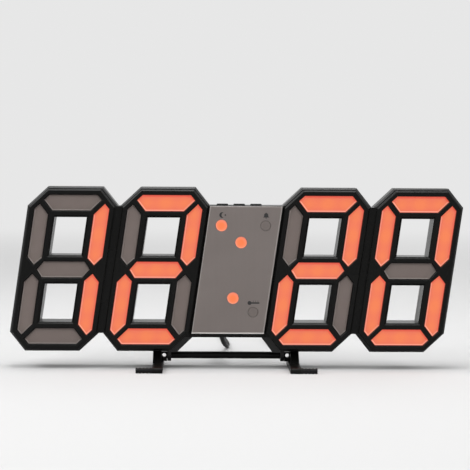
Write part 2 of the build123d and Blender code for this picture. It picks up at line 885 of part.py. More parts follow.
def stand_bracket():
    """Cross bar, two legs with their runners, and the pegs of the front feet."""
    shaft_y = depth(shaft_depth)
    bar = across(stand_x - leg_inner) * Pos(shaft_y, shaft_height) * Circle(shaft_radius)
    body = extrude(bar, 2 * leg_inner)
    peg_y = (runner_height - stand_depth) / 2
    peg = Pos(peg_y, runner_height / 2) * Circle(peg_radius)
    for side in (-1, 1):
        inner = stand_x + side * leg_inner
        leg = extrude(across(min(inner, inner + side * leg_width)) * leg_profile(), leg_width)
        runner = Pos(0, runner_height / 2) * SlotOverall(stand_depth, runner_height)
        leg += extrude(across(min(inner, inner - side * runner_flare)) * runner, runner_flare)
        web, hole = stand_web(side)
        start = inner + side * leg_width
        foot = extrude(across(min(start, start + side * peg_length)) * peg, peg_length)
        body = body + leg + web + foot - hole
    return body


def foot_sleeve(side):
    """Ribbed sleeve on a front peg."""
    start = leg_inner + leg_width + sleeve_gap
    length = peg_length - sleeve_gap
    step = length / (2 * sleeve_ribs - 1)
    points = [(start, peg_radius + sleeve_fit)]
    for rib in range(sleeve_ribs):
        low = start + 2 * rib * step
        points += [(low, sleeve_radius), (low + step, sleeve_radius)]
        if rib < sleeve_ribs - 1:
            points += [(low + step, sleeve_radius - sleeve_rib), (low + 2 * step, sleeve_radius - sleeve_rib)]
    points += [(start + length, peg_radius + sleeve_fit)]
    face = make_face(Polyline(*[(side * x, r) for x, r in points], close=True))
    ring = revolve(face, Axis.X)
    return Pos(stand_x, (runner_height - stand_depth) / 2, runner_height / 2) * ring


def cord_route():
    """Points of the cord from the strain relief to its coil, chosen by hand."""
    start_y = depth(body_depth + grip_length + relief_length)
    floor_z = cord_radius + rest_gap
    end_x = coil_x - coil_start_radius
    return [
        (socket_x, start_y, socket_z),
        (socket_x, start_y + exit_run, socket_z),
        (-7.1, 57.6, 11.4),
        (-5.0, 68.6, 4.1),
        (-2.9, 80.0, floor_z),
        (-2.7, 96.0, floor_z),
        (-4.0, 113.0, floor_z),
        (-5.2, 130.0, 1.5),
        (end_x, 147.0, coil_bottom),
        (end_x, coil_y - cord_diameter, coil_bottom),
    ]


def tail_route():
    """Points of the cord from its coil to the plug on its far end."""
    x = coil_x + coil_start_radius
    axis_z = rest_gap + end_plug_height / 2
    return [
        (x, coil_y - cord_diameter, coil_top),
        (x, 153.5, coil_top),
        (29.7, 143.5, 7.4),
        (29.6, 135.0, axis_z),
        (29.6, 127.5, axis_z),
    ]


def tube(points):
    """Tube along straight runs joined by tangent arcs, as large as the runs allow."""
    corners = [Vector(*point) for point in points]
    runs = [(b - a) for a, b in zip(corners, corners[1:])]
    radii = []
    for before, after in zip(runs, runs[1:]):
        half_turn = radians(before.get_angle(after)) / 2
        radii.append(arc_share * min(before.length, after.length) / tan(half_turn))
    path = FilletPolyline(*points, radius=radii)
    section = Plane(origin=points[0], z_dir=runs[0]) * Circle(cord_radius)
    print("arc radii", [round(radius, 1) for radius in radii])
    solid = sweep(section, path=path)
    ideal = pi * cord_radius ** 2 * path.length
    print("tube length", round(path.length, 1), "volume over section times length",
          round(solid.volume / ideal, 4))
    return solid


def coil_point(turn):
    """Centre of the coiled cord after a number of turns from its start."""
    leg = (turn + start_turns) % (2 * layer_turns)
    inward = min(leg, 2 * layer_turns - leg)
    radius = coil_outer_radius - inward * coil_pitch
    layer = int(turn // layer_turns)
    climb = max(0, (turn - layer_turns * (layer + 1) + climb_turns) / climb_turns)
    angle = pi - 2 * pi * turn
    height = coil_bottom + (layer + climb) * coil_pitch
    return Vector(coil_x + radius * cos(angle), coil_y + radius * sin(angle), height)


def biarc(start, start_way, end, end_way):
    """Two arcs that leave and arrive in the given directions."""
    chord = end - start
    ways = start_way + end_way
    lean = chord.dot(ways)
    spread = 2 * (1 - start_way.dot(end_way))
    reach = (-lean + sqrt(lean ** 2 + spread * chord.dot(chord))) / spread
    first = start + start_way * reach
    second = end - end_way * reach
    joint = (first + second) * 0.5
    return [TangentArc(start, joint, tangent=start_way).edge(),
            TangentArc(joint, end, tangent=second - first).edge()]


def cord_coil():
    """Put-away length of the cord: layers that spiral in and out, one unbroken tube."""
    steps = round(4 * coil_step_turns)
    nodes = [coil_point(step / 4) for step in range(steps + 1)]
    ways = [(coil_point(step / 4 + way_turns) - coil_point(step / 4 - way_turns)).normalized()
            for step in range(1, steps)]
    ways = [Vector(0, 1, 0)] + ways + [Vector(0, -1, 0)]
    edges = [Line(nodes[0] - ways[0] * cord_diameter, nodes[0]).edge()]
    for step in range(steps):
        edges += biarc(nodes[step], ways[step], nodes[step + 1], ways[step + 1])
    edges += [Line(nodes[-1], nodes[-1] + ways[-1] * cord_diameter).edge()]
    path = Wire(edges)
    section = Plane(origin=edges[0] @ 0, z_dir=ways[0]) * Circle(cord_radius)
    solid = sweep(section, path=path)
    print("coil length", round(path.length, 1), "volume over section times length",
          round(solid.volume / (pi * cord_radius ** 2 * path.length), 4))
    print("least gap of the coil to itself", round(coil_gap(edges), 3))
    return solid


def coil_gap(edges):
    """Least distance between the surfaces of turns that are not neighbours along the tube."""
    points = []
    run = 0
    for edge in edges:
        count = max(2, round(edge.length / cord_radius))
        points += [(run + edge.length * k / count, edge @ (k / count)) for k in range(count)]
        run += edge.length
    least = run
    for index, (along, point) in enumerate(points):
        for other_along, other in points[index + 1:]:
            if other_along - along > 3 * cord_diameter:
                least = min(least, (other - point).length)
    return least - cord_diameter


def cable_tie():
    """Strap and head round one side of the coil."""
    half = tie_width / 2
    inner = sqrt((coil_inner_radius - cord_radius) ** 2 - half ** 2) - tie_clearance
    outer = coil_outer_radius + cord_radius + tie_clearance
    low = coil_bottom - cord_radius - tie_clearance
    high = coil_top + cord_radius + tie_clearance
    middle = Pos(coil_x, coil_y + (inner + outer) / 2, (low + high) / 2)
    window = Box(tie_width + overrun, outer - inner, high - low)
    strap = Box(tie_width, outer - inner + 2 * tie_thickness, high - low + 2 * tie_thickness)
    head = Box(tie_head_width, tie_head_width, tie_head)
    top = Pos(coil_x, coil_y + (inner + outer) / 2, high + tie_head / 2)
    return middle * (strap - window) + top * head


def end_plug_axis():
    """Start of the far plug: where the cord enters it, and its direction."""
    x, y, z = tail_route()[-1]
    return x, y - end_relief_length, z


def end_plug():
    """Moulded grip of the plug on the far end, with its tapered relief."""
    x, y, z = end_plug_axis()
    grip = Box(end_plug_width, end_plug_length, end_plug_height)
    grip = fillet(grip.edges().filter_by(Axis.Y), end_plug_corner)
    grip = chamfer(grip.faces().sort_by(Axis.Y)[0].edges() + grip.faces().sort_by(Axis.Y)[-1].edges(),
                   end_plug_nose)
    body = Pos(x, y - end_plug_length / 2, z) * grip
    cone = Cone(relief_radius, relief_end_radius, end_relief_length)
    body += Pos(x, y + end_relief_length / 2, z) * Rot(-90, 0, 0) * cone
    pocket = Box(shell_width, 2 * shell_sink, shell_height)
    return body - Pos(x, y - end_plug_length, z) * pocket


def end_plug_shell():
    """Folded metal shell of the far plug."""
    x, y, z = end_plug_axis()
    back = y - end_plug_length + shell_sink
    outer = Box(shell_width, shell_length + shell_sink, shell_height)
    inner = Box(shell_width - 2 * shell_wall, shell_length + shell_sink, shell_height - 2 * shell_wall)
    body = outer - Pos(0, -shell_wall, 0) * inner
    return Pos(x, back - (shell_length + shell_sink) / 2, z) * body


def end_plug_tongue():
    """Contact block inside the shell."""
    x, y, z = end_plug_axis()
    back = y - end_plug_length + shell_sink - shell_wall
    length = shell_length + shell_sink - 2 * shell_wall
    low = z - shell_height / 2 + shell_wall
    width = shell_width - 2 * shell_wall - 2 * tongue_gap
    return Pos(x, back - length / 2, low + tongue_height / 2) * Box(width, length, tongue_height)


def case_screws():
    """Eight screws that join the two halves of the housing."""
    seat = body_depth - screw_sink
    end = plate + pilot_floor + screw_end_gap
    heads = digit_pins(screw_head_radius, seat, seat + screw_head)
    shanks = digit_pins(screw_radius, end, seat)
    return [head + shank for head, shank in zip(heads, shanks)]


def tops_and_switches():
    """Buttons with their plungers, by the name of each button."""
    names = ("set", "up", "down")
    nodes = {}
    for name, x in zip(names, button_middles()):
        nodes[f"{name}_button"] = button(x)
        nodes[f"{name}_plunger"] = plunger(x)
    return nodes


def digit_nodes():
    """Diffusers and reflector of each digit."""
    nodes = {}
    for number, x in enumerate(digit_places):
        nodes[f"digit_{number + 1}_lit"] = diffusers(number, True)
        nodes[f"digit_{number + 1}_dark"] = diffusers(number, False)
        nodes[f"digit_{number + 1}_reflector"] = reflector(x)
    return nodes


def all_nodes():
    """Every piece of the clock, by name."""
    lit, dark = guide_places()
    nodes = {
        "front_frame": front_frame(),
        "rear_cover": rear_cover(),
        "centre_panel": centre_panel(),
        "lit_indicators": guides(lit, lit_guide_radius),
        "dark_indicators": guides(dark, dark_guide_radius),
        "left_display_board": display_board(-1),
        "right_display_board": display_board(1),
        "left_segment_leds": segment_leds(-1),
        "right_segment_leds": segment_leds(1),
        "main_board": main_board(),
        "indicator_leds": indicator_leds(),
        "control_chip": on_main_board(Rectangle(chip_side, chip_side), chip_place, chip_thickness),
        "clock_crystal": crystal(),
        "buzzer": buzzer(),
        "temperature_sensor": on_main_board(Circle(sensor_radius), sensor_place, sensor_thickness),
        "cell_holder": cell_holder(),
        "coin_cell": coin_cell(),
        "battery_door": battery_door(),
        "tact_switches": [tact_switch(x) for x in button_middles()],
        "supply_socket": supply_socket(),
        "board_jumpers": [ribbon(-1), ribbon(1)],
        "case_screws": case_screws(),
        "stand_bracket": stand_bracket(),
        "foot_sleeves": [foot_sleeve(-1), foot_sleeve(1)],
        "plug_barrel": plug_barrel(),
        "supply_plug": supply_plug(),
        "strain_relief": strain_relief(),
        "supply_cord": tube(cord_route()),
        "cord_coil": cord_coil(),
        "cord_tail": tube(tail_route()),
        "cable_tie": cable_tie(),
        "end_plug": end_plug(),
        "end_plug_shell": end_plug_shell(),
        "end_plug_tongue": end_plug_tongue(),
    }
    nodes.update(tops_and_switches())
    nodes.update(digit_nodes())
    return nodes


def main():
    """Write each piece to its own file."""
    os.makedirs("parts", exist_ok=True)
    for name, shape in all_nodes().items():
        if isinstance(shape, list):
            shape = Compound(children=[solid for piece in shape for solid in piece.solids()])
        export_step(shape, f"parts/{name}.step")


if __name__ == "__main__":
    main()
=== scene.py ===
"""Looks of a digital led desk clock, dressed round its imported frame.

Every length is in metres, in the frame's own axes: X to the right, Y from front to back, Z up.
"""

import logging
import math
from collections.abc import Callable, Iterable, Sequence
from dataclasses import dataclass, field
from enum import Enum

import bmesh
import bpy
from mathutils import Matrix, Vector

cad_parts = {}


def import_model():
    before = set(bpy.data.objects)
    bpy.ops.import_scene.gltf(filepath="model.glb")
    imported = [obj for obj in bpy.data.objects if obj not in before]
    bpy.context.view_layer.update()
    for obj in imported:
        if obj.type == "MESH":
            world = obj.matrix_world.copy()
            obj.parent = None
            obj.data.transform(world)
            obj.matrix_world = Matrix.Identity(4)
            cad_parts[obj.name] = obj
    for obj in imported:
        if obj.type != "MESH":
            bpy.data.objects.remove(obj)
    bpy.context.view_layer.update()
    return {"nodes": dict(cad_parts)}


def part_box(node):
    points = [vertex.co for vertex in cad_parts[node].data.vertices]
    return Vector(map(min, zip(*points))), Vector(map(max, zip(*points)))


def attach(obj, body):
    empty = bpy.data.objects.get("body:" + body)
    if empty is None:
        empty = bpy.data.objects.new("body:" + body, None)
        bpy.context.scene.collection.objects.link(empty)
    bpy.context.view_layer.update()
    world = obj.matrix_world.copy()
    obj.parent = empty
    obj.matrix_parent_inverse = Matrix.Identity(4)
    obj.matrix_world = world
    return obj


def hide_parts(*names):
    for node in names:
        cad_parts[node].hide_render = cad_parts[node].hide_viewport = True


LOG = logging.getLogger("desk_clock")
MM = 0.001
SLANT = math.tan(math.radians(8.0))  # how far the digits lean, per length upwards
MIDDLE = 47.0 * MM  # height of the digits' waist
NEAR = 2e-6  # points closer than this are one
FLAT = math.radians(0.6)  # faces that turn less than this are one
SHARP = math.radians(35.0)  # edges that turn more than this aren't shaded smooth
ROUNDED = math.radians(30.0)  # edges that turn more than this are bevelled
Point = tuple[float, float, float]
Colour = tuple[float, float, float]
Outline = list[tuple[float, float]]
Piece = bpy.types.Object
Material = bpy.types.Material
Shape = bmesh.types.BMesh


class Body(Enum):
    """Bodies of the frame that pieces ride on."""

    CLOCK = "clock"
    SET_KEY = "set_key"
    UP_KEY = "up_key"
    DOWN_KEY = "down_key"


class Slot(Enum):
    """Material slots of the record."""

    BLACK_CASE = "black_case"
    LIT_DIFFUSER = "lit_diffuser"
    DARK_DIFFUSER = "dark_diffuser"
    GREY_PANEL = "grey_panel"
    COMPONENT_BLACK = "component_black"
    BRIGHT_METAL = "bright_metal"
    BUTTON_BLACK = "button_black"
    BLACK_RUBBER = "black_rubber"


class Value:
    """A socket of a node tree, with arithmetic that adds Math nodes."""

    def __init__(self, graph: "Graph", socket: bpy.types.NodeSocket) -> None:
        """Keep the tree and the socket."""
        self.graph = graph
        self.socket = socket

    def _math(self, operation: str, *values: "Value | float") -> "Value":
        """One Math node."""
        return self.graph.node("ShaderNodeMath", {"operation": operation}, dict(enumerate(values)))

    def __add__(self, other: "Value | float") -> "Value":
        """Sum."""
        return self._math("ADD", self, other)

    __radd__ = __add__

    def __sub__(self, other: "Value | float") -> "Value":
        """Difference."""
        return self._math("SUBTRACT", self, other)

    def __rsub__(self, other: float) -> "Value":
        """Difference from a number."""
        return self._math("SUBTRACT", other, self)

    def __mul__(self, other: "Value | float") -> "Value":
        """Product."""
        return self._math("MULTIPLY", self, other)

    __rmul__ = __mul__

    def __pow__(self, other: float) -> "Value":
        """Power."""
        return self._math("POWER", self, other)

    def __abs__(self) -> "Value":
        """Size without its sign."""
        return self._math("ABSOLUTE", self)

    def at_most(self, other: "Value | float") -> "Value":
        """The smaller of two values."""
        return self._math("MINIMUM", self, other)

    def at_least(self, other: "Value | float") -> "Value":
        """The larger of two values."""
        return self._math("MAXIMUM", self, other)

    def step(self, low: float, high: float) -> "Value":
        """Smooth step from 0 at low to 1 at high."""
        inputs = {"Value": self, "From Min": low, "From Max": high}
        return self.graph.node("ShaderNodeMapRange", {"interpolation_type": "SMOOTHSTEP"}, inputs)


class Graph:
    """A node tree that is written as calls and expressions."""

    def __init__(self, tree: bpy.types.NodeTree) -> None:
        """Keep the tree."""
        self.tree = tree

    def node(self, kind: str, settings: dict | None = None, inputs: dict | None = None,
             output: int | str = 0) -> Value:
        """Add a node.

        Args:
            kind: the node's type.
            settings: its attributes; "stops" holds a ramp's places and colours.
            inputs: values or links of its sockets, by name or number.
            output: which output to hand back.

        Returns:
            The chosen output.
        """
        made = self.tree.nodes.new(kind)
        for name, setting in (settings or {}).items():
            if name == "stops":
                self._set_stops(made.color_ramp, setting)
            else:
                setattr(made, name, setting)
        for key, given in (inputs or {}).items():
            socket = made.inputs[key]
            if isinstance(given, Value):
                self.tree.links.new(given.socket, socket)
            elif socket.type == "RGBA" and len(given) == 3:
                socket.default_value = (*given, 1.0)
            else:
                socket.default_value = given
        return Value(self, made.outputs[output]) if made.outputs else Value(self, None)

    @staticmethod
    def _set_stops(ramp: bpy.types.ColorRamp, stops: Sequence[tuple[float, Colour]]) -> None:
        """Fill a colour ramp."""
        while len(ramp.elements) < len(stops):
            ramp.elements.new(0.5)
        for element, (place, colour) in zip(ramp.elements, stops):
            element.position = place
            element.color = (*colour, 1.0)


class ShaderGraph(Graph):
    """The node tree of one material."""

    def __init__(self, name: str) -> None:
        """Start an empty material."""
        self.material = bpy.data.materials.new(name)
        self.material.use_nodes = True
        self.material.node_tree.nodes.clear()
        super().__init__(self.material.node_tree)

    def place(self, scale: Point = (1.0, 1.0, 1.0)) -> Value:
        """Object coordinates, stretched along the axes."""
        coordinates = self.node("ShaderNodeTexCoord", output="Object")
        return self.node("ShaderNodeMapping", None, {"Vector": coordinates, "Scale": scale})

    def parts(self, vector: Value) -> tuple[Value, Value, Value]:
        """X, Y and Z of a vector."""
        split = self.node("ShaderNodeSeparateXYZ", None, {0: vector})
        node = split.socket.node
        return tuple(Value(self, node.outputs[axis]) for axis in range(3))

    def noise(self, scale: float, detail: float = 3.0, roughness: float = 0.55,
              vector: Value | None = None) -> Value:
        """Noise from 0 to 1, in waves per metre."""
        inputs = {"Vector": vector or self.place(), "Scale": scale, "Detail": detail,
                  "Roughness": roughness}
        return self.node("ShaderNodeTexNoise", None, inputs)

    def blend(self, factor: Value | float, first: Value | Colour, second: Value | Colour) -> Value:
        """Mix of two colours."""
        inputs = {0: factor, 6: first, 7: second}
        return self.node("ShaderNodeMix", {"data_type": "RGBA"}, inputs, output=2)

    def bump(self, height: Value, distance: float, normal: Value | None = None) -> Value:
        """Normal from a height, whose full range is the given distance."""
        inputs = {"Height": height, "Distance": distance}
        if normal:
            inputs["Normal"] = normal
        return self.node("ShaderNodeBump", None, inputs)

    def rounded(self, radius: float) -> Value:
        """Normal that turns softly over the edges of a piece."""
        return self.node("ShaderNodeBevel", {"samples": 6}, {"Radius": radius})

    def finish(self, **sockets: "Value | float | Colour") -> Material:
        """Close the tree with a Principled shader.

        Args:
            **sockets: the shader's sockets by name, with underscores for spaces.

        Returns:
            The material.
        """
        inputs = {name.replace("_", " "): given for name, given in sockets.items()}
        shader = self.node("ShaderNodeBsdfPrincipled", None, inputs)
        self.node("ShaderNodeOutputMaterial", None, {"Surface": shader})
        return self.material


@dataclass(frozen=True)
class MouldedPlastic:
    """Satin moulded plastic with a fine grain, handling marks, dusty specks and painted light: more
    pale specks on up-facing faces.
    """

    name: str
    colour: Colour
    roughness: float = 0.42
    specular: float = 0.12
    grain: float = 2600.0
    grain_height: float = 0.02 * MM
    mottle: float = 0.12
    dust_and_top_light_amount: float = 0.02
    dust_and_top_light_colour: Colour = (0.32, 0.3, 0.28)
    edge: float = 0.25 * MM

    def material(self) -> Material:
        """Build the material."""
        graph = ShaderGraph(self.name)
        broad = graph.noise(60.0, 4.0)
        fine = graph.noise(self.grain, 2.0)
        streaks = graph.noise(900.0, 5.0, 0.7, graph.place((1.0, 1.0, 0.12)))
        tint = graph.blend(broad.step(0.3, 0.7) * self.mottle, self.colour,
                           tuple(c * 1.7 + 0.002 for c in self.colour))
        _, _, up = graph.parts(graph.node("ShaderNodeNewGeometry", output="Normal"))
        # Pale specks, up to four times as many on up-facing faces: partly dusty soiling, partly
        # painted light on upper faces and ledges.
        dust_and_top_light = up.step(0.5, 1.0) * graph.noise(1500.0, 3.0).step(0.45, 0.75) * 3.0 + 1.0
        specks = graph.noise(4200.0, 2.0).step(0.62, 0.78) * dust_and_top_light * self.dust_and_top_light_amount
        base = graph.blend(specks.at_most(0.6), tint, self.dust_and_top_light_colour)
        gloss = self.roughness + (broad - 0.5) * 0.16 + streaks.step(0.58, 0.72) * 0.06
        normal = graph.bump(fine, self.grain_height, normal=graph.rounded(self.edge))
        return graph.finish(Base_Color=base, Roughness=gloss, Specular_IOR_Level=self.specular,
                            Normal=normal)


def rim_masks(graph: ShaderGraph) -> tuple[Value, Value, Value]:
    """Painted shadow under a recess's upper edges, a painted light line along its lower ones, and
    painted shade right at the edge round it.

    Args:
        graph: the material's tree, on pieces with a UV map "rim": nearness to the edge, and how far
            that edge faces down and to the left.

    Returns:
        Masks of the painted shadow, of the painted light line and of the painted shade at the edge.
    """
    near, below, _ = graph.parts(graph.node("ShaderNodeUVMap", {"uv_map": "rim"}))
    # Painted shadow, painted light line and painted edge shade, laid out from the rim coordinates.
    shadow = near.step(-0.1, 0.75) * (-1.0 * below).step(0.0, 0.9)
    line = near.step(0.4, 0.62) * (1.0 - near.step(0.85, 1.0)) * below.step(0.1, 0.5)
    return shadow, line, near.step(0.8, 1.0)


@dataclass(frozen=True)
class LitDiffuser:
    """Milky insert with its lights on: hottest over each light, redder at its edges, with painted
    shadow and light at its rim.
    """

    name: str = "lit_diffuser"
    body: Colour = (0.28, 0.06, 0.03)
    heart: Colour = (0.69, 0.174, 0.062)
    middle: Colour = (0.635, 0.125, 0.078)
    edge: Colour = (0.6, 0.09, 0.075)
    # Painted colours: shadow under the upper edges, a light line along the lower ones, shade at the
    # outer edge.
    shade: Colour = (0.62, 0.062, 0.04)
    gleam: Colour = (0.95, 0.42, 0.31)
    gap_shade: Colour = (0.3, 0.02, 0.012)
    lights: float = 3.0
    strength: float = 1.0

    def material(self) -> Material:
        """Build the material, which reads the segment's own coordinates."""
        graph = ShaderGraph(self.name)
        along, across, _ = graph.parts(graph.node("ShaderNodeUVMap", {"uv_map": "segment"}))
        wave = graph.node("ShaderNodeMath", {"operation": "COSINE"},
                          {0: along * (self.lights * math.pi)})
        heat = (1.0 - abs(across) ** 2.0) * (0.84 + wave * 0.16) * (1.0 - abs(along) ** 3.0 * 0.6)
        cloud = graph.noise(420.0, 3.0)
        level = (heat + (cloud - 0.5) * 0.16).at_least(0.0).at_most(1.0)
        stops = [(0.0, self.edge), (0.35, self.middle), (0.9, self.heart)]
        ramp = graph.node("ShaderNodeValToRGB", {"stops": stops}, {0: level})
        # Painted shadow along the upper edges, painted light line along the lower ones, painted
        # shade at the outer edge.
        shadow, line, gap_shade = rim_masks(graph)
        ramp = graph.blend(shadow * 0.85, ramp, self.shade)
        ramp = graph.blend(line * 0.8, ramp, self.gleam)
        ramp = graph.blend(gap_shade * 0.1, ramp, self.gap_shade)
        fine = graph.noise(3200.0, 2.0)
        return graph.finish(Base_Color=self.body, Roughness=0.48 + cloud * 0.1,
                            Specular_IOR_Level=0.4, Emission_Color=ramp,
                            Emission_Strength=self.strength, Normal=graph.bump(fine, 0.008 * MM))


@dataclass(frozen=True)
class DarkDiffuser:
    """The same milky insert with its lights off, darker towards its edges and ends as painted
    shade, with painted shadow and a painted light line at its rim.
    """

    name: str = "dark_diffuser"
    colour: Colour = (0.184, 0.147, 0.133)
    shade: Colour = (0.135, 0.108, 0.098)
    # rim: how strong the painted shadow, edge shade and light line are.
    rim: float = 1.0

    def material(self) -> Material:
        """Build the material, which reads the segment's own coordinates."""
        graph = ShaderGraph(self.name)
        along, across, _ = graph.parts(graph.node("ShaderNodeUVMap", {"uv_map": "segment"}))
        # Darker towards the ends and edges of each segment: painted shade in its recess.
        reach = abs(across).at_least(abs(along) ** 3.0)
        cloud = graph.noise(260.0, 4.0)
        rim = (reach + (cloud - 0.5) * 0.2).step(0.78, 1.1)
        base = graph.blend(rim * 0.8, self.colour, self.shade)
        base = graph.blend((cloud - 0.4).at_least(0.0) * 0.35, base, (0.25, 0.215, 0.195))
        # Painted shadow under the upper edges and painted shade at the outer edge, then a painted
        # light line along the lower edges.
        shadow, line, gap_shade = rim_masks(graph)
        base = graph.blend((shadow * 0.4 + gap_shade * 0.35) * self.rim, base, (0.07, 0.056, 0.05))
        base = graph.blend(line * (0.7 * self.rim), base, (0.46, 0.405, 0.38))
        fine = graph.noise(3200.0, 2.0)
        return graph.finish(Base_Color=base, Roughness=0.46 + cloud * 0.12, Specular_IOR_Level=0.4,
                            Normal=graph.bump(fine, 0.008 * MM))


@dataclass(frozen=True)
class PanelFilm:
    """Grey satin film of the centre panel, with a faint brushed grain and painted highlights along
    its edges, brightest along the bottom.
    """

    name: str = "grey_panel"
    colour: Colour = (0.165, 0.14, 0.13)
    light: Colour = (0.2, 0.172, 0.16)
    # Painted highlights along the panel's edges, the bottom one brightest.
    edge_highlight: Colour = (0.46, 0.43, 0.41)
    bottom_edge_highlight: Colour = (0.85, 0.82, 0.79)
    half_width: float = 17.15 * MM
    bottom: float = 16.85 * MM
    top: float = 77.4 * MM

    def material(self) -> Material:
        """Build the material."""
        graph = ShaderGraph(self.name)
        brushed = graph.noise(700.0, 4.0, 0.6, graph.place((1.0, 1.0, 0.05)))
        cloud = graph.noise(45.0, 3.0)
        base = graph.blend(brushed * 0.45 + cloud.step(0.3, 0.75) * 0.4, self.colour, self.light)
        specks = graph.noise(3600.0, 2.0).step(0.66, 0.8)
        base = graph.blend(specks * 0.12, base, (0.4, 0.38, 0.36))
        # Painted highlight along the left, right and top edges, and a brighter one along the bottom
        # edge.
        x, _, z = graph.parts(graph.place())
        upright = x - (z - MIDDLE) * SLANT
        left, right = upright + self.half_width, self.half_width - upright
        near = 1.0 - right.step(0.35 * MM, 0.8 * MM)
        near = near.at_least(1.0 - left.step(0.2 * MM, 0.6 * MM))
        near = near.at_least((1.0 - (self.top - z).step(0.15 * MM, 0.5 * MM)) * 0.7)
        base = graph.blend(near * 0.6, base, self.edge_highlight)
        base = graph.blend(1.0 - (z - self.bottom).step(0.35 * MM, 0.8 * MM), base, self.bottom_edge_highlight)
        gloss = 0.44 + brushed * 0.1 + (cloud - 0.5) * 0.1
        return graph.finish(Base_Color=base, Roughness=gloss, Specular_IOR_Level=0.45,
                            Coat_Weight=cloud * 0.12, Normal=graph.bump(brushed, 0.006 * MM))


@dataclass(frozen=True)
class SoftRubber:
    """Soft black rubber or cable sheath, dull, with a faint grain."""

    name: str
    colour: Colour = (0.006, 0.006, 0.0065)
    roughness: float = 0.5
    specular: float = 0.14
    grain: float = 3000.0

    def material(self) -> Material:
        """Build the material."""
        graph = ShaderGraph(self.name)
        cloud = graph.noise(180.0, 4.0)
        fine = graph.noise(self.grain, 3.0)
        pale = tuple(c * 2.2 + 0.003 for c in self.colour)
        base = graph.blend(cloud.step(0.35, 0.8) * 0.4, self.colour, pale)
        lint = graph.noise(5200.0, 2.0).step(0.68, 0.8)
        base = graph.blend(lint * 0.04, base, (0.3, 0.29, 0.28))
        return graph.finish(Base_Color=base, Roughness=self.roughness + (cloud - 0.5) * 0.2,
                            Specular_IOR_Level=self.specular, Normal=graph.bump(fine, 0.015 * MM))


@dataclass(frozen=True)
class PlatedMetal:
    """Plated or stamped metal with fine scratches."""

    name: str
    colour: Colour = (0.62, 0.62, 0.63)
    roughness: float = 0.24
    scratch_axis: Point = (1.0, 0.06, 1.0)

    def material(self) -> Material:
        """Build the material."""
        graph = ShaderGraph(self.name)
        scratches = graph.noise(2600.0, 4.0, 0.7, graph.place(self.scratch_axis))
        cloud = graph.noise(240.0, 3.0)
        dull = tuple(c * 0.72 for c in self.colour)
        base = graph.blend(cloud.step(0.4, 0.8) * 0.3, self.colour, dull)
        gloss = self.roughness + scratches.step(0.5, 0.75) * 0.16 + (cloud - 0.5) * 0.08
        return graph.finish(Base_Color=base, Metallic=1.0, Roughness=gloss,
                            Normal=graph.bump(scratches, 0.004 * MM))


@dataclass(frozen=True)
class CircuitBoard:
    """Green solder resist over copper tracks that run at right angles."""

    name: str = "circuit_board"
    resist: Colour = (0.012, 0.085, 0.035)
    track: Colour = (0.03, 0.16, 0.06)
    pad: Colour = (0.5, 0.47, 0.38)
    pitch: float = 420.0

    def material(self) -> Material:
        """Build the material."""
        graph = ShaderGraph(self.name)
        cells = {"Vector": graph.place(), "Scale": self.pitch}
        distance = graph.node("ShaderNodeTexVoronoi", {"distance": "CHEBYCHEV"}, cells)
        rings = graph.node("ShaderNodeMath", {"operation": "PINGPONG"}, {0: distance * 6.0, 1: 1.0})
        tracks = rings.step(0.55, 0.65)
        pads = 1.0 - distance.step(0.05, 0.075)
        base = graph.blend(tracks, self.resist, self.track)
        base = graph.blend(pads, base, self.pad)
        cloud = graph.noise(320.0, 3.0)
        return graph.finish(Base_Color=base, Metallic=pads * 0.9, Roughness=0.32 + cloud * 0.14,
                            Normal=graph.bump(tracks * 0.5 + pads, 0.03 * MM))


@dataclass(frozen=True)
class MouldedWhite:
    """White plastic of the light wells, a little glossy."""

    name: str
    colour: Colour = (0.76, 0.75, 0.72)

    def material(self) -> Material:
        """Build the material."""
        graph = ShaderGraph(self.name)
        cloud = graph.noise(90.0, 4.0)
        dull = tuple(c * 0.86 for c in self.colour)
        base = graph.blend(cloud.step(0.3, 0.8) * 0.5, self.colour, dull)
        return graph.finish(Base_Color=base, Roughness=0.38 + cloud * 0.16,
                            Normal=graph.bump(graph.noise(2400.0, 2.0), 0.01 * MM))


@dataclass(frozen=True)
class PrintedInk:
    """Flat ink of the small signs and of the marks round the door."""

    name: str = "printed_ink"
    colour: Colour = (0.012, 0.012, 0.013)
    worn: Colour = (0.035, 0.033, 0.032)

    def material(self) -> Material:
        """Build the material."""
        graph = ShaderGraph(self.name)
        cloud = graph.noise(1400.0, 3.0)
        base = graph.blend(cloud.step(0.5, 0.8) * 0.5, self.colour, self.worn)
        return graph.finish(Base_Color=base, Roughness=0.55 + cloud * 0.1,
                            Normal=graph.bump(cloud, 0.004 * MM))


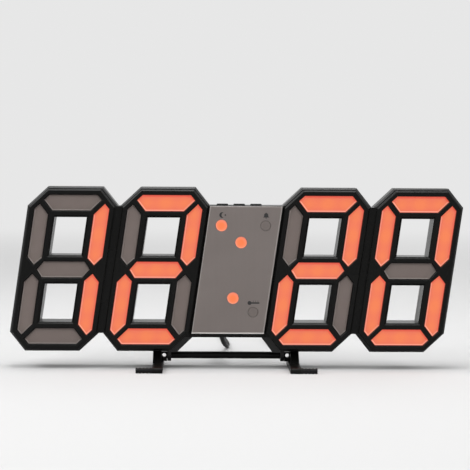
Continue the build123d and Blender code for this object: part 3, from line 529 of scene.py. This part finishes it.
class Finishes:
    """Every finish of the clock, built once."""

    def __init__(self) -> None:
        """Build the materials."""
        black = (0.0036, 0.0036, 0.0033)
        self.front = MouldedPlastic("black_front", black, 0.26).material()
        self.rear = MouldedPlastic("black_rear", (0.0075, 0.0075, 0.0075), 0.34, specular=0.3,
                                   grain=1900.0, grain_height=0.03 * MM, dust_and_top_light_amount=0.05).material()
        self.stand = MouldedPlastic("stand_black", black, 0.36).material()
        self.button = MouldedPlastic("button_black", (0.009, 0.009, 0.009)).material()
        self.component = MouldedPlastic("component_black", (0.018, 0.018, 0.019), 0.5,
                                        dust_and_top_light_amount=0.01).material()
        self.tie = MouldedPlastic("tie_black", (0.014, 0.014, 0.015), 0.38).material()
        self.rubber = SoftRubber("sleeve_rubber").material()
        self.sheath = SoftRubber("cord_sheath", (0.0035, 0.0035, 0.0038), 0.42, 0.05).material()
        self.lit = LitDiffuser().material()
        # The indicator dots carry the same painted shadow, light line and edge shade as the
        # segments.
        self.lit_guide = LitDiffuser(
            "lit_guide", heart=(0.8, 0.168, 0.045), middle=(0.76, 0.215, 0.11),
            edge=(0.58, 0.2, 0.14), shade=(0.62, 0.18, 0.12), gleam=(0.7, 0.26, 0.18),
            gap_shade=(0.2, 0.08, 0.06), lights=0.0).material()
        self.dark = DarkDiffuser().material()
        self.dark_guide = DarkDiffuser("dark_guide", (0.155, 0.131, 0.121), (0.14, 0.118, 0.109),
                                       0.1).material()
        self.panel = PanelFilm().material()
        self.white = MouldedWhite("reflector_white").material()
        self.tongue = MouldedWhite("tongue_white", (0.8, 0.8, 0.8)).material()
        self.ribbon = MouldedWhite("ribbon_film", (0.68, 0.68, 0.66)).material()
        self.resin = MouldedWhite("led_resin", (0.78, 0.7, 0.42)).material()
        self.board = CircuitBoard().material()
        self.metal = PlatedMetal("bright_metal").material()
        self.screw = PlatedMetal("black_screw", (0.06, 0.06, 0.065), 0.34,
                                 (1.0, 1.0, 1.0)).material()
        self.ink = PrintedInk().material()
        self.pale_ink = PrintedInk("pale_ink", (0.42, 0.42, 0.41), (0.2, 0.2, 0.19)).material()


def new_object(name: str, data: bpy.types.ID) -> Piece:
    """Object for a mesh, a curve, a lamp or a camera, linked to the scene."""
    made = bpy.data.objects.new(name, data)
    bpy.context.scene.collection.objects.link(made)
    return made


def mesh_from(name: str, build: Callable[[Shape], None]) -> bpy.types.Mesh:
    """Mesh that a function fills, closed up and facing outwards."""
    shape = bmesh.new()
    build(shape)
    bmesh.ops.remove_doubles(shape, verts=shape.verts, dist=NEAR)
    bmesh.ops.recalc_face_normals(shape, faces=shape.faces)
    mesh = bpy.data.meshes.new(name)
    shape.to_mesh(mesh)
    shape.free()
    return mesh


def add_plate(shape: Shape, outline: Outline, front: float, back: float) -> None:
    """Add a plate between two depths.

    Args:
        shape: the mesh that it is added to.
        outline: its corners, across and up.
        front: its lowest depth.
        back: its highest depth.
    """
    near, far = ([shape.verts.new((x, y, z)) for x, z in outline] for y in (front, back))
    shape.faces.new(near)
    shape.faces.new(far)
    for k in range(len(outline)):
        after = (k + 1) % len(outline)
        shape.faces.new((near[k], near[after], far[after], far[k]))


def islands(shape: Shape) -> list[list[bmesh.types.BMVert]]:
    """Separate bodies of a mesh, as lists of their points."""
    left = set(shape.verts)
    bodies = []
    while left:
        queue = [left.pop()]
        body = []
        while queue:
            vert = queue.pop()
            body.append(vert)
            for edge in vert.link_edges:
                other = edge.other_vert(vert)
                if other in left:
                    left.remove(other)
                    queue.append(other)
        bodies.append(body)
    return bodies


def smooth(mesh: bpy.types.Mesh) -> None:
    """Shade a mesh smooth, but for its sharp edges."""
    mesh.polygons.foreach_set("use_smooth", [True] * len(mesh.polygons))
    mesh.set_sharp_from_angle(angle=SHARP)


def paint(piece: Piece, material: Material) -> None:
    """Give a piece one material."""
    piece.data.materials.clear()
    piece.data.materials.append(material)


def adopt(piece: Piece, body: Body, slot: Slot, *nodes: str) -> None:
    """Let a piece ride on a body and stand for nodes."""
    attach(piece, body.value)
    if nodes:
        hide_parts(*nodes)
    LOG.info("%s: %d faces on %s", piece.name, len(getattr(piece.data, "polygons", [])), body.value)


def soften(piece: Piece, width: float, segments: int = 2) -> None:
    """Round the edges of a piece with a live bevel."""
    bevel = piece.modifiers.new("rounded_edges", "BEVEL")
    bevel.width = width
    bevel.segments = segments
    bevel.limit_method = "ANGLE"
    bevel.angle_limit = ROUNDED
    bevel.use_clamp_overlap = False
    bevel.harden_normals = True
    bevel.miter_outer = "MITER_ARC"


def clean_copy(node: Piece, name: str) -> Piece:
    """Copy of a frame node with its loose triangles joined into flat faces."""
    shape = bmesh.new()
    shape.from_mesh(node.data)
    bmesh.ops.remove_doubles(shape, verts=shape.verts, dist=NEAR)
    bmesh.ops.dissolve_limit(shape, angle_limit=FLAT, verts=shape.verts, edges=shape.edges)
    mesh = bpy.data.meshes.new(name)
    shape.to_mesh(mesh)
    shape.free()
    smooth(mesh)
    return new_object(name, mesh)


def lathe(name: str, profile: Sequence[tuple[float, float]], start: Point, axis: Point,
          segments: int = 48) -> Piece:
    """Body of revolution.

    Args:
        name: the piece's name.
        profile: distances along the axis with their radii, closed by a radius of 0 at both ends.
        start: the axis's first point.
        axis: the axis's direction.
        segments: how many sides the body has.

    Returns:
        The piece.
    """
    turn = Vector((0, 0, 1)).rotation_difference(Vector(axis).normalized()).to_matrix().to_4x4()
    place = Matrix.Translation(start) @ turn

    def fill(shape: Shape) -> None:
        """Join rings of points, with one point where the radius is 0."""
        rings = []
        for along, radius in profile:
            count = segments if radius > 0 else 1
            turns = [2 * math.pi * k / segments for k in range(count)]
            ring = [Vector((radius * math.cos(a), radius * math.sin(a), along)) for a in turns]
            rings.append([shape.verts.new(place @ point) for point in ring])
        for low, high in zip(rings, rings[1:]):
            for k in range(segments):
                corners = [low[k % len(low)], low[(k + 1) % len(low)],
                           high[(k + 1) % len(high)], high[k % len(high)]]
                unique = list(dict.fromkeys(corners))
                if len(unique) > 2:
                    shape.faces.new(unique)

    mesh = mesh_from(name, fill)
    smooth(mesh)
    return new_object(name, mesh)


class RepeatTree(Graph):
    """Geometry nodes that set copies of a shape on points."""

    def __init__(self, name: str) -> None:
        """Start a tree with a mesh coming in and a mesh going out."""
        tree = bpy.data.node_groups.new(name, "GeometryNodeTree")
        tree.interface.new_socket("Geometry", in_out="INPUT", socket_type="NodeSocketGeometry")
        tree.interface.new_socket("Geometry", in_out="OUTPUT", socket_type="NodeSocketGeometry")
        super().__init__(tree)
        self.given = tree.nodes.new("NodeGroupInput")
        self.sizes: dict[str, float] = {}

    def size(self, name: str, value: float) -> Value:
        """Named input of the tree, with its value."""
        self.tree.interface.new_socket(name, in_out="INPUT", socket_type="NodeSocketFloat")
        self.sizes[name] = value
        return Value(self, self.given.outputs[name])

    def points(self) -> Value:
        """The mesh that comes in."""
        return Value(self, self.given.outputs["Geometry"])

    def join(self, parts: Iterable[Value]) -> Value:
        """One geometry of several."""
        joined = self.node("GeometryNodeJoinGeometry")
        for part in parts:
            self.tree.links.new(part.socket, joined.socket.node.inputs[0])
        return joined

    def move(self, shape: Value, offset: Value | Point) -> Value:
        """A geometry, moved."""
        return self.node("GeometryNodeTransform", None, {0: shape, "Translation": offset})

    def close(self, instances: Value, material: Material) -> None:
        """Realize the copies, flat-faced, and give them their material."""
        solid = self.node("GeometryNodeRealizeInstances", None, {0: instances})
        solid = self.node("GeometryNodeSetShadeSmooth", None, {0: solid, "Shade Smooth": False})
        solid = self.node("GeometryNodeSetMaterial", None, {0: solid, "Material": material})
        self.node("NodeGroupOutput", None, {0: solid})

    def bake(self, name: str, places: Iterable[Point]) -> Piece:
        """Run the tree on points and keep the result as a plain mesh.

        Args:
            name: the piece's name.
            places: the points that come in.

        Returns:
            The piece, with no modifier left on it.
        """
        seed = bpy.data.meshes.new(f"{name}_places")
        seed.from_pydata(list(places), [], [])
        holder = new_object(f"{name}_holder", seed)
        modifier = holder.modifiers.new("repeat", "NODES")
        modifier.node_group = self.tree
        for item in self.tree.interface.items_tree:
            if item.in_out == "INPUT" and item.name in self.sizes:
                modifier[item.identifier] = self.sizes[item.name]
        graph = bpy.context.evaluated_depsgraph_get()
        mesh = bpy.data.meshes.new_from_object(holder.evaluated_get(graph))
        mesh.name = name
        bpy.data.objects.remove(holder)
        return new_object(name, mesh)


@dataclass
class Assembly:
    """A group of pieces, with the finishes and the frame's nodes at hand."""

    finishes: Finishes
    nodes: dict[str, Piece]

    def dress(self, finish: Material, *names: str) -> None:
        """Give a finish to nodes that keep their shape."""
        for name in names:
            paint(self.nodes[name], finish)
            LOG.info("%s: %s", name, finish.name)


@dataclass
class Housing(Assembly):
    """The two black halves, the door and the screws."""

    head_radius: float = 1.8 * MM
    head_height: float = 1.0 * MM
    head_sides: int = 40
    shank_sides: int = 24
    recess_width: float = 0.5 * MM
    recess_length: float = 2.3 * MM
    recess_raise: float = 0.55
    arrow_start: float = 98.0
    arrow_step: float = 3.0
    arrow_tip: float = 9.0
    dot_angles: tuple[float, float] = (90.0, 45.0)
    mark_gap: float = 0.9 * MM
    mark_width: float = 0.9 * MM
    mark_height: float = 0.2 * MM
    mark_root: float = 0.02 * MM

    def build(self) -> None:
        """Build and dress the housing."""
        self.dress(self.finishes.front, "front_frame")
        self.dress(self.finishes.rear, "rear_cover", "battery_door")
        self._screws()
        self._turn_marks()

    def _turn_marks(self) -> None:
        """Raised arrow round the door, the way it opens, and a dot at each end of its turn."""
        low, high = (Vector(corner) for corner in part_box("battery_door"))
        middle = ((low.x + high.x) / 2, (low.z + high.z) / 2)
        inner = (high.x - low.x) / 2 + self.mark_gap
        outer = inner + self.mark_width
        line = (inner + outer) / 2
        wing = 0.7 * self.mark_width

        def around(radius: float, angle: float,
                   centre: tuple[float, float] = middle) -> tuple[float, float]:
            """Point at a radius and an angle in degrees, which runs as seen from behind."""
            turn = math.radians(angle)
            return centre[0] - radius * math.cos(turn), centre[1] + radius * math.sin(turn)

        def fill(shape: Shape) -> None:
            """Curved bar, its arrow head and two dots."""
            angles = [self.arrow_start + self.arrow_step * k for k in range(13)]
            last = angles[-1]
            bar = [around(outer, a) for a in angles] + [around(inner, a) for a in reversed(angles)]
            head = [around(inner - wing, last), around(outer + wing, last),
                    around(line, last + self.arrow_tip)]
            dots = [[around(wing, 22.5 * k, around(line, angle)) for k in range(16)]
                    for angle in self.dot_angles]
            for outline in (bar, head, *dots):
                add_plate(shape, outline, high.y - self.mark_root, high.y + self.mark_height)

        marks = new_object("door_marks", mesh_from("door_marks", fill))
        paint(marks, self.finishes.pale_ink)
        adopt(marks, Body.CLOCK, Slot.BLACK_CASE)

    def _screws(self) -> None:
        """Eight screws with flat heads and cross recesses, at the heads' own places."""
        low, high = (Vector(corner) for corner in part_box("case_screws"))
        corners = self.nodes["case_screws"].data.vertices
        xs = sorted({round(v.co.x, 5) for v in corners if v.co.y > high.y - self.head_height / 2})
        places = []
        for x in xs:
            if not places or x - places[-1][0] > 2 * self.head_radius + MM:
                places.append([x, x])
            places[-1][1] = x
        height = (low.z + high.z) / 2
        spots = [((a + b) / 2, high.y, height) for a, b in places]
        tree = RepeatTree("screw_repeat")
        radius = tree.size("Head Radius", self.head_radius)
        thick = tree.size("Head Height", self.head_height)
        length = tree.size("Shank Length", high.y - low.y - self.head_height)
        recess_width = tree.size("Recess Width", self.recess_width)
        recess_length = tree.size("Recess Length", self.recess_length)
        turned = (-math.pi / 2, 0.0, 0.0)
        head = tree.node("GeometryNodeMeshCylinder", None,
                         {"Vertices": self.head_sides, "Radius": radius, "Depth": thick})
        sizes = [tree.node("ShaderNodeCombineXYZ", None, {0: across, 1: up, 2: thick})
                 for across, up in ((recess_length, recess_width), (recess_width, recess_length))]
        cross = tree.join([tree.node("GeometryNodeMeshCube", None, {"Size": s}) for s in sizes])
        cross = tree.move(cross, (0.0, 0.0, self.head_height * self.recess_raise))
        head = tree.node("GeometryNodeMeshBoolean", {"operation": "DIFFERENCE"},
                         {"Mesh 1": head, 1: cross})
        shank = tree.node("GeometryNodeMeshCylinder", None,
                          {"Vertices": self.shank_sides, "Radius": radius * 0.5, "Depth": length})
        down = tree.node("ShaderNodeCombineXYZ", None, {2: (length + thick) * -0.5})
        both = tree.join([head, tree.move(shank, down)])
        both = tree.move(both, (0.0, 0.0, -self.head_height / 2))
        copies = tree.node("GeometryNodeInstanceOnPoints", None,
                           {"Points": tree.points(), "Instance": both, "Rotation": turned})
        tree.close(copies, self.finishes.screw)
        screws = tree.bake("case_screws_dressed", spots)
        adopt(screws, Body.CLOCK, Slot.BRIGHT_METAL, "case_screws")


@dataclass
class Digits(Assembly):
    """The diffusers of the four digits and the parts behind them."""

    edge_round: float = 0.12 * MM
    rim_width: float = 1.15 * MM
    face_depth: float = 0.05 * MM
    below: Point = (-0.45, 0.0, -0.893)

    def build(self) -> None:
        """Build and dress the digits."""
        for number in range(1, 5):
            for state, material, slot in (("lit", self.finishes.lit, Slot.LIT_DIFFUSER),
                                          ("dark", self.finishes.dark, Slot.DARK_DIFFUSER)):
                self._inserts(f"digit_{number}_{state}", material, slot)
            self.dress(self.finishes.white, f"digit_{number}_reflector")
        self.dress(self.finishes.board, "left_display_board", "right_display_board")
        self.dress(self.finishes.resin, "left_segment_leds", "right_segment_leds")

    def _inserts(self, node: str, material: Material, slot: Slot) -> None:
        """Inserts of one node, each with coordinates along and across its segment."""
        piece = clean_copy(self.nodes[node], f"{node}_dressed")
        shape = bmesh.new()
        shape.from_mesh(piece.data)
        layer = shape.loops.layers.uv.new("segment")
        self._rims(shape)
        for island in islands(shape):
            flat = [(v.co.x - (v.co.z - MIDDLE) * SLANT, v.co.z) for v in island]
            low_x, high_x = min(p[0] for p in flat), max(p[0] for p in flat)
            low_z, high_z = min(p[1] for p in flat), max(p[1] for p in flat)
            lying = high_x - low_x > high_z - low_z
            for vert, (x, z) in zip(island, flat):
                u = (2 * x - low_x - high_x) / (high_x - low_x)
                v = (2 * z - low_z - high_z) / (high_z - low_z)
                for loop in vert.link_loops:
                    loop[layer].uv = (u, v) if lying else (v, u)
        shape.to_mesh(piece.data)
        shape.free()
        paint(piece, material)
        soften(piece, self.edge_round)
        adopt(piece, Body.CLOCK, slot, node)

    def _rims(self, shape: Shape) -> None:
        """Narrow band round each front face, with coordinates for its shadow and its light."""
        rim = shape.loops.layers.uv.new("rim")
        limit = min(v.co.y for v in shape.verts) + self.face_depth
        fronts = [face for face in shape.faces
                  if face.normal.y < -0.99 and face.calc_center_median().y < limit]
        made = bmesh.ops.inset_region(shape, faces=fronts, thickness=self.rim_width, depth=0.0,
                                      use_even_offset=True, use_boundary=True)
        inner = {v for f in fronts for v in f.verts}
        for band in made["faces"]:
            outer = [v for v in band.verts if v not in inner]
            if len(outer) != 2:
                continue
            run = outer[1].co - outer[0].co
            away = Vector((run.z, 0.0, -run.x)).normalized()
            if away.dot(outer[0].co - band.calc_center_median()) < 0:
                away = -away
            for loop in band.loops:
                loop[rim].uv = (0.0 if loop.vert in inner else 1.0, away.dot(Vector(self.below)))


@dataclass
class Centre(Assembly):
    """The grey panel with its indicators and small signs, and the buttons above it."""

    edge_round: float = 0.12 * MM
    button_round: float = 0.35 * MM
    guide_round: float = 0.15 * MM
    lit_guide_radius: float = 2.7 * MM
    dark_guide_radius: float = 2.35 * MM
    ink_thickness: float = 0.03 * MM
    face_y: float = field(init=False)

    def build(self) -> None:
        """Build and dress the centre section."""
        self.face_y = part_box("centre_panel")[0][1]
        panel = clean_copy(self.nodes["centre_panel"], "centre_panel_dressed")
        paint(panel, self.finishes.panel)
        soften(panel, self.edge_round)
        adopt(panel, Body.CLOCK, Slot.GREY_PANEL, "centre_panel")
        self._guides("lit_indicators", self.lit_guide_radius, self.finishes.lit_guide,
                     Slot.LIT_DIFFUSER)
        self._guides("dark_indicators", self.dark_guide_radius, self.finishes.dark_guide,
                     Slot.DARK_DIFFUSER)
        self._signs()
        self._buttons()

    def _signs(self) -> None:
        """Small printed signs, a moon, a bell and a lying thermometer, in millimetres."""
        signs = {"moon_sign": (-6.9, 73.2, self._moon()), "bell_sign": (13.6, 73.0, self._bell()),
                 "thermometer_sign": (8.1, 31.6, self._thermometer())}
        for name, (x, z, outlines) in signs.items():
            sign = self._print(name, x, z, outlines)
            paint(sign, self.finishes.ink)
            adopt(sign, Body.CLOCK, Slot.COMPONENT_BLACK)

    @staticmethod
    def _arc(centre: tuple[float, float], radius: float, start: float, stop: float,
             steps: int = 24) -> Outline:
        """Points of an arc, its angles in degrees."""
        angles = [math.radians(start + (stop - start) * k / steps) for k in range(steps + 1)]
        x, z = centre
        return [(x + radius * math.cos(a), z + radius * math.sin(a)) for a in angles]

    def _moon(self) -> list[Outline]:
        """Crescent with a little star beside it."""
        outer = self._arc((-0.3, 0.0), 1.35, 60.0, 300.0)
        inner = self._arc((0.55, 0.0), 1.18, 262.0, 98.0)
        tips = self._arc((1.2, 0.0), 0.6, 0.0, 270.0, 3)
        dents = self._arc((1.2, 0.0), 0.27, 45.0, 315.0, 3)
        return [outer + inner, [point for pair in zip(tips, dents) for point in pair]]

    def _bell(self) -> list[Outline]:
        """Bell with its clapper and its knob."""
        dome = self._arc((0.0, 0.3), 0.95, 0.0, 180.0)
        body = dome + [(-1.05, -0.35), (-1.45, -0.85), (1.45, -0.85), (1.05, -0.35)]
        clapper = self._arc((0.0, -0.95), 0.4, 180.0, 360.0)
        return [body, clapper, self._arc((0.0, 1.2), 0.26, 0.0, 180.0)]

    def _thermometer(self) -> list[Outline]:
        """Lying thermometer: a bulb, a stem and three marks."""
        bulb = self._arc((-2.1, 0.0), 0.95, 22.0, 338.0)
        stem = [(2.3, -0.36), *self._arc((2.3, 0.0), 0.36, -90.0, 90.0, 10), (2.3, 0.36)]
        marks = [[(x - 0.12, 0.62), (x + 0.12, 0.62), (x + 0.12, 1.15), (x - 0.12, 1.15)]
                 for x in (-0.3, 0.8, 1.9)]
        return [bulb + stem, *marks]

    def _print(self, name: str, x: float, z: float, outlines: list[Outline]) -> Piece:
        """Thin layer of ink on the panel.

        Args:
            name: the piece's name.
            x: the sign's middle across the clock, in millimetres.
            z: the sign's middle above the table, in millimetres.
            outlines: closed outlines round that middle, in millimetres.

        Returns:
            The piece.
        """

        def fill(shape: Shape) -> None:
            """A thin plate for every outline."""
            for points in outlines:
                outline = [((x + u) * MM, (z + v) * MM) for u, v in points]
                add_plate(shape, outline, self.face_y - self.ink_thickness, self.face_y)

        return new_object(name, mesh_from(name, fill))

    def _spots(self, node: str) -> list[Vector]:
        """Middles of the separate bodies of a node."""
        shape = bmesh.new()
        shape.from_mesh(self.nodes[node].data)
        bmesh.ops.remove_doubles(shape, verts=shape.verts, dist=NEAR)
        spots = []
        for island in islands(shape):
            low = Vector([min(v.co[k] for v in island) for k in range(3)])
            high = Vector([max(v.co[k] for v in island) for k in range(3)])
            spots.append((low + high) / 2)
        shape.free()
        return sorted(spots, key=lambda spot: (-spot.z, spot.x))

    def _guides(self, node: str, radius: float, material: Material, slot: Slot) -> None:
        """Domed light guides, with coordinates that run outwards from their middles."""
        low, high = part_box(node)
        soft = self.guide_round
        depth = high[1] - low[1]
        rings = [(0.0, radius * share) for share in (0.0, 0.3, 0.6, 0.78)]
        profile = rings + [(0.0, radius - soft), (soft * 0.3, radius - soft * 0.3), (soft, radius),
                           (depth, radius), (depth, 0.0)]
        whole = bmesh.new()
        for number, spot in enumerate(self._spots(node)):
            guide = lathe(f"{node}_{number}", profile, (spot.x, low[1], spot.z), (0.0, 1.0, 0.0))
            segment = guide.data.uv_layers.new(name="segment")
            rim = guide.data.uv_layers.new(name="rim")
            for loop in guide.data.loops:
                point = guide.data.vertices[loop.vertex_index].co
                away = Vector((point.x - spot.x, 0.0, point.z - spot.z)) / radius
                segment.data[loop.index].uv = (0.0, away.length * 0.9)
                rim.data[loop.index].uv = (away.length ** 4, away.dot(Vector(Digits.below)))
            whole.from_mesh(guide.data)
            bpy.data.objects.remove(guide)
        mesh = bpy.data.meshes.new(f"{node}_dressed")
        whole.to_mesh(mesh)
        whole.free()
        smooth(mesh)
        piece = new_object(f"{node}_dressed", mesh)
        paint(piece, material)
        adopt(piece, Body.CLOCK, slot, node)

    def _buttons(self) -> None:
        """Three buttons with rounded tops."""
        for name, body in (("set", Body.SET_KEY), ("up", Body.UP_KEY), ("down", Body.DOWN_KEY)):
            button = clean_copy(self.nodes[f"{name}_button"], f"{name}_button_dressed")
            paint(button, self.finishes.button)
            soften(button, self.button_round, 3)
            adopt(button, body, Slot.BUTTON_BLACK, f"{name}_button")
            self.dress(self.finishes.component, f"{name}_plunger")


class Stand(Assembly):
    """The folding bracket and the sleeves of its front feet."""

    def build(self) -> None:
        """Dress the stand."""
        self.dress(self.finishes.stand, "stand_bracket")
        self.dress(self.finishes.rubber, "foot_sleeves")


class Electronics(Assembly):
    """What the housing holds: boards, cell, switches and small components."""

    def build(self) -> None:
        """Dress the parts inside."""
        self.dress(self.finishes.board, "main_board")
        self.dress(self.finishes.resin, "indicator_leds")
        self.dress(self.finishes.component, "control_chip", "buzzer", "temperature_sensor",
                   "cell_holder", "tact_switches", "supply_socket")
        self.dress(self.finishes.metal, "clock_crystal", "coin_cell")
        self.dress(self.finishes.ribbon, "board_jumpers")


@dataclass
class SupplyLead(Assembly):
    """The supply plug, the cord with its put-away coil, the tie and the plug on the far end."""

    radius: float = 1.2 * MM
    length: float = 1.023
    rest: float = 0.05 * MM
    socket: tuple[float, float] = (-8.0 * MM, 19.3 * MM)
    coil_centre: tuple[float, float] = (12.25 * MM, 165.0 * MM)
    coil_pitch: float = 2.85 * MM
    coil_middle: float = 14.4 * MM
    coil_bottom: float = 2.35 * MM
    coil_top: float = 10.9 * MM
    turns: float = 9.5
    points_per_turn: int = 16

    def build(self) -> None:
        cord = self._cord()
        finishes = {
            "supply_plug": self.finishes.sheath, "plug_barrel": self.finishes.metal,
            "strain_relief": self.finishes.sheath, "cable_tie": self.finishes.tie,
            "end_plug": self.finishes.sheath, "end_plug_shell": self.finishes.metal,
            "end_plug_tongue": self.finishes.tongue,
        }
        for name, finish in finishes.items():
            self.dress(finish, name)
        adopt(cord, Body.CLOCK, Slot.BLACK_RUBBER, "supply_cord", "cord_coil", "cord_tail")
        self._route()[0]

    def _route(self) -> list[Point]:
        """Points of the cord from the strain relief to the coil."""
        x, z = self.socket
        floor = self.radius + self.rest
        start = self.coil_centre[0] - self._coil_radius(0.0)
        stop = self.coil_centre[1] - 2 * self.radius
        return [
            (x, 0.0381, z), (x, 0.0465, z), (-0.0071, 0.0576, 0.0114), (-0.0050, 0.0686, 0.0041),
            (-0.0029, 0.0800, floor), (-0.0027, 0.0960, floor), (-0.0040, 0.1130, floor),
            (-0.0052, 0.1300, 0.0015), (start, 0.1470, self.coil_bottom),
            (start, stop, self.coil_bottom),
        ]

    def _tail(self) -> list[Point]:
        """Points of the cord from the coil to the far plug."""
        x = self.coil_centre[0] + self._coil_radius(self.turns)
        axis = 0.00405
        return [
            (x, self.coil_centre[1] - 2 * self.radius, self.coil_top), (x, 0.1535, self.coil_top),
            (0.0297, 0.1435, 0.0074), (0.0296, 0.1350, axis), (0.0296, 0.1275, axis),
        ]

    def _coil_radius(self, turn: float) -> float:
        """Distance from the coil's middle after a number of turns."""
        leg = (turn + 0.25) % 5
        return self.coil_middle + (1.25 - min(leg, 5 - leg)) * self.coil_pitch

    def _coil(self) -> list[Point]:
        """Points of the coil: layers that spiral in and out."""
        points = []
        steps = round(self.turns * self.points_per_turn)
        for step in range(steps + 1):
            turn = step / self.points_per_turn
            layer = int(turn // 2.5)
            climb = max(0.0, (turn - 2.5 * layer - 2) / 0.5)
            angle = math.pi - 2 * math.pi * turn
            radius = self._coil_radius(turn)
            points.append((self.coil_centre[0] + radius * math.cos(angle),
                           self.coil_centre[1] + radius * math.sin(angle),
                           self.coil_bottom + (layer + climb) * self.coil_pitch))
        return points

    def _cord(self) -> Piece:
        """The whole cord as one smooth line with a round section."""
        points = self._route() + self._coil() + self._tail()
        curve = bpy.data.curves.new("supply_cord_dressed", "CURVE")
        curve.dimensions = "3D"
        curve.bevel_depth = self.radius
        curve.bevel_resolution = 5
        curve.resolution_u = 4
        curve.use_fill_caps = True
        line = curve.splines.new("NURBS")
        line.points.add(len(points) - 1)
        for point, place in zip(line.points, points):
            point.co = (*place, 1.0)
        line.order_u = 3
        line.use_endpoint_u = True
        curve.materials.append(self.finishes.sheath)
        return new_object("supply_cord_dressed", curve)


@dataclass
class Studio:
    """Camera, lights, floor and backdrop."""

    eye: Point = (-0.0183, -0.8039, 0.104)
    yaw: float = math.radians(1.233)
    pitch: float = math.radians(2.876)
    roll: float = math.radians(0.38)
    lens: float = 129.85
    floor_size: float = 8.0
    fade_start: float = 0.25
    fade_end: float = 1.5
    floor_colour: Colour = (0.655, 0.655, 0.655)
    sky: float = 0.8
    sky_light: float = 0.42

    def build(self) -> None:
        """Set the stage."""
        self._camera()
        self._floor()
        self._world()
        self._lamp("key", (-0.6, -0.65, 0.9), 0.7, 4.3)
        self._lamp("fill", (0.85, -0.65, 0.6), 0.8, 2.3)
        self._lamp("top", (0.0, -0.02, 0.95), 0.4, 4.0)
        self._lamp("left_top", (-0.72, -0.02, 0.78), 0.4, 2.6)
        self._lamp("right_top", (0.72, -0.02, 0.78), 0.4, 1.3)
        self._lamp("back", (0.35, 0.85, 0.75), 0.9, 2.0)
        bpy.context.scene.view_settings.view_transform = "Standard"

    def _camera(self) -> None:
        """Camera at the photograph's angle."""
        data = bpy.data.cameras.new("camera")
        data.lens = self.lens
        data.sensor_width = 36.0
        data.clip_start = 0.01
        camera = new_object("camera", data)
        turn = (Matrix.Rotation(-self.yaw, 4, "Z")
                @ Matrix.Rotation(math.radians(90) - self.pitch, 4, "X")
                @ Matrix.Rotation(self.roll, 4, "Z"))
        camera.matrix_world = Matrix.Translation(self.eye) @ turn
        bpy.context.scene.camera = camera

    def _floor(self) -> None:
        """Pale floor that fades into the backdrop's colour far away."""
        half = self.floor_size / 2
        mesh = bpy.data.meshes.new("floor")
        corners = [(-half, -half, 0), (half, -half, 0), (half, half, 0), (-half, half, 0)]
        mesh.from_pydata(corners, [], [(0, 1, 2, 3)])
        floor = new_object("floor", mesh)
        graph = ShaderGraph("floor_pale")
        x, y, _ = graph.parts(graph.place())
        far = ((x * x + y * y) ** 0.5).step(self.fade_start, self.fade_end)
        matt = graph.node("ShaderNodeBsdfDiffuse", None, {"Color": self.floor_colour})
        glow = graph.node("ShaderNodeEmission", None, {"Color": (self.sky,) * 3})
        mixed = graph.node("ShaderNodeMixShader", None, {0: far, 1: matt, 2: glow})
        graph.node("ShaderNodeOutputMaterial", None, {"Surface": mixed})
        paint(floor, graph.material)

    def _world(self) -> None:
        """Pale backdrop for the camera and for reflections, and even light for the rest."""
        world = bpy.data.worlds.new("studio")
        world.use_nodes = True
        world.node_tree.nodes.clear()
        graph = Graph(world.node_tree)
        path = graph.node("ShaderNodeLightPath").socket.node
        seen = Value(graph, path.outputs["Is Camera Ray"])
        seen = seen.at_least(Value(graph, path.outputs["Is Glossy Ray"]))
        seen = seen.at_least(Value(graph, path.outputs["Is Transmission Ray"]))
        level = self.sky_light + seen * (self.sky - self.sky_light)
        light = graph.node("ShaderNodeBackground", None,
                           {"Color": (1.0, 1.0, 1.0), "Strength": level})
        graph.node("ShaderNodeOutputWorld", None, {"Surface": light})
        bpy.context.scene.world = world

    def _lamp(self, name: str, place: Point, size: float, power: float) -> None:
        """Soft area light that looks at the clock."""
        data = bpy.data.lights.new(name, "AREA")
        data.size = size
        data.energy = power
        lamp = new_object(name, data)
        aim = Vector((0.0, 0.0, 0.045)) - Vector(place)
        turn = aim.to_track_quat("-Z", "Y").to_matrix().to_4x4()
        lamp.matrix_world = Matrix.Translation(place) @ turn


def main() -> None:
    """Build the clock round its frame, in order."""
    logging.basicConfig(level=logging.INFO, format="%(name)s %(message)s")
    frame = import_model()
    nodes = frame["nodes"]
    finishes = Finishes()
    Studio().build()
    SupplyLead(finishes, nodes).build()
    for assembly in (Housing, Digits, Centre, Stand, Electronics):
        assembly(finishes, nodes).build()


if __name__ == "__main__":
    main()
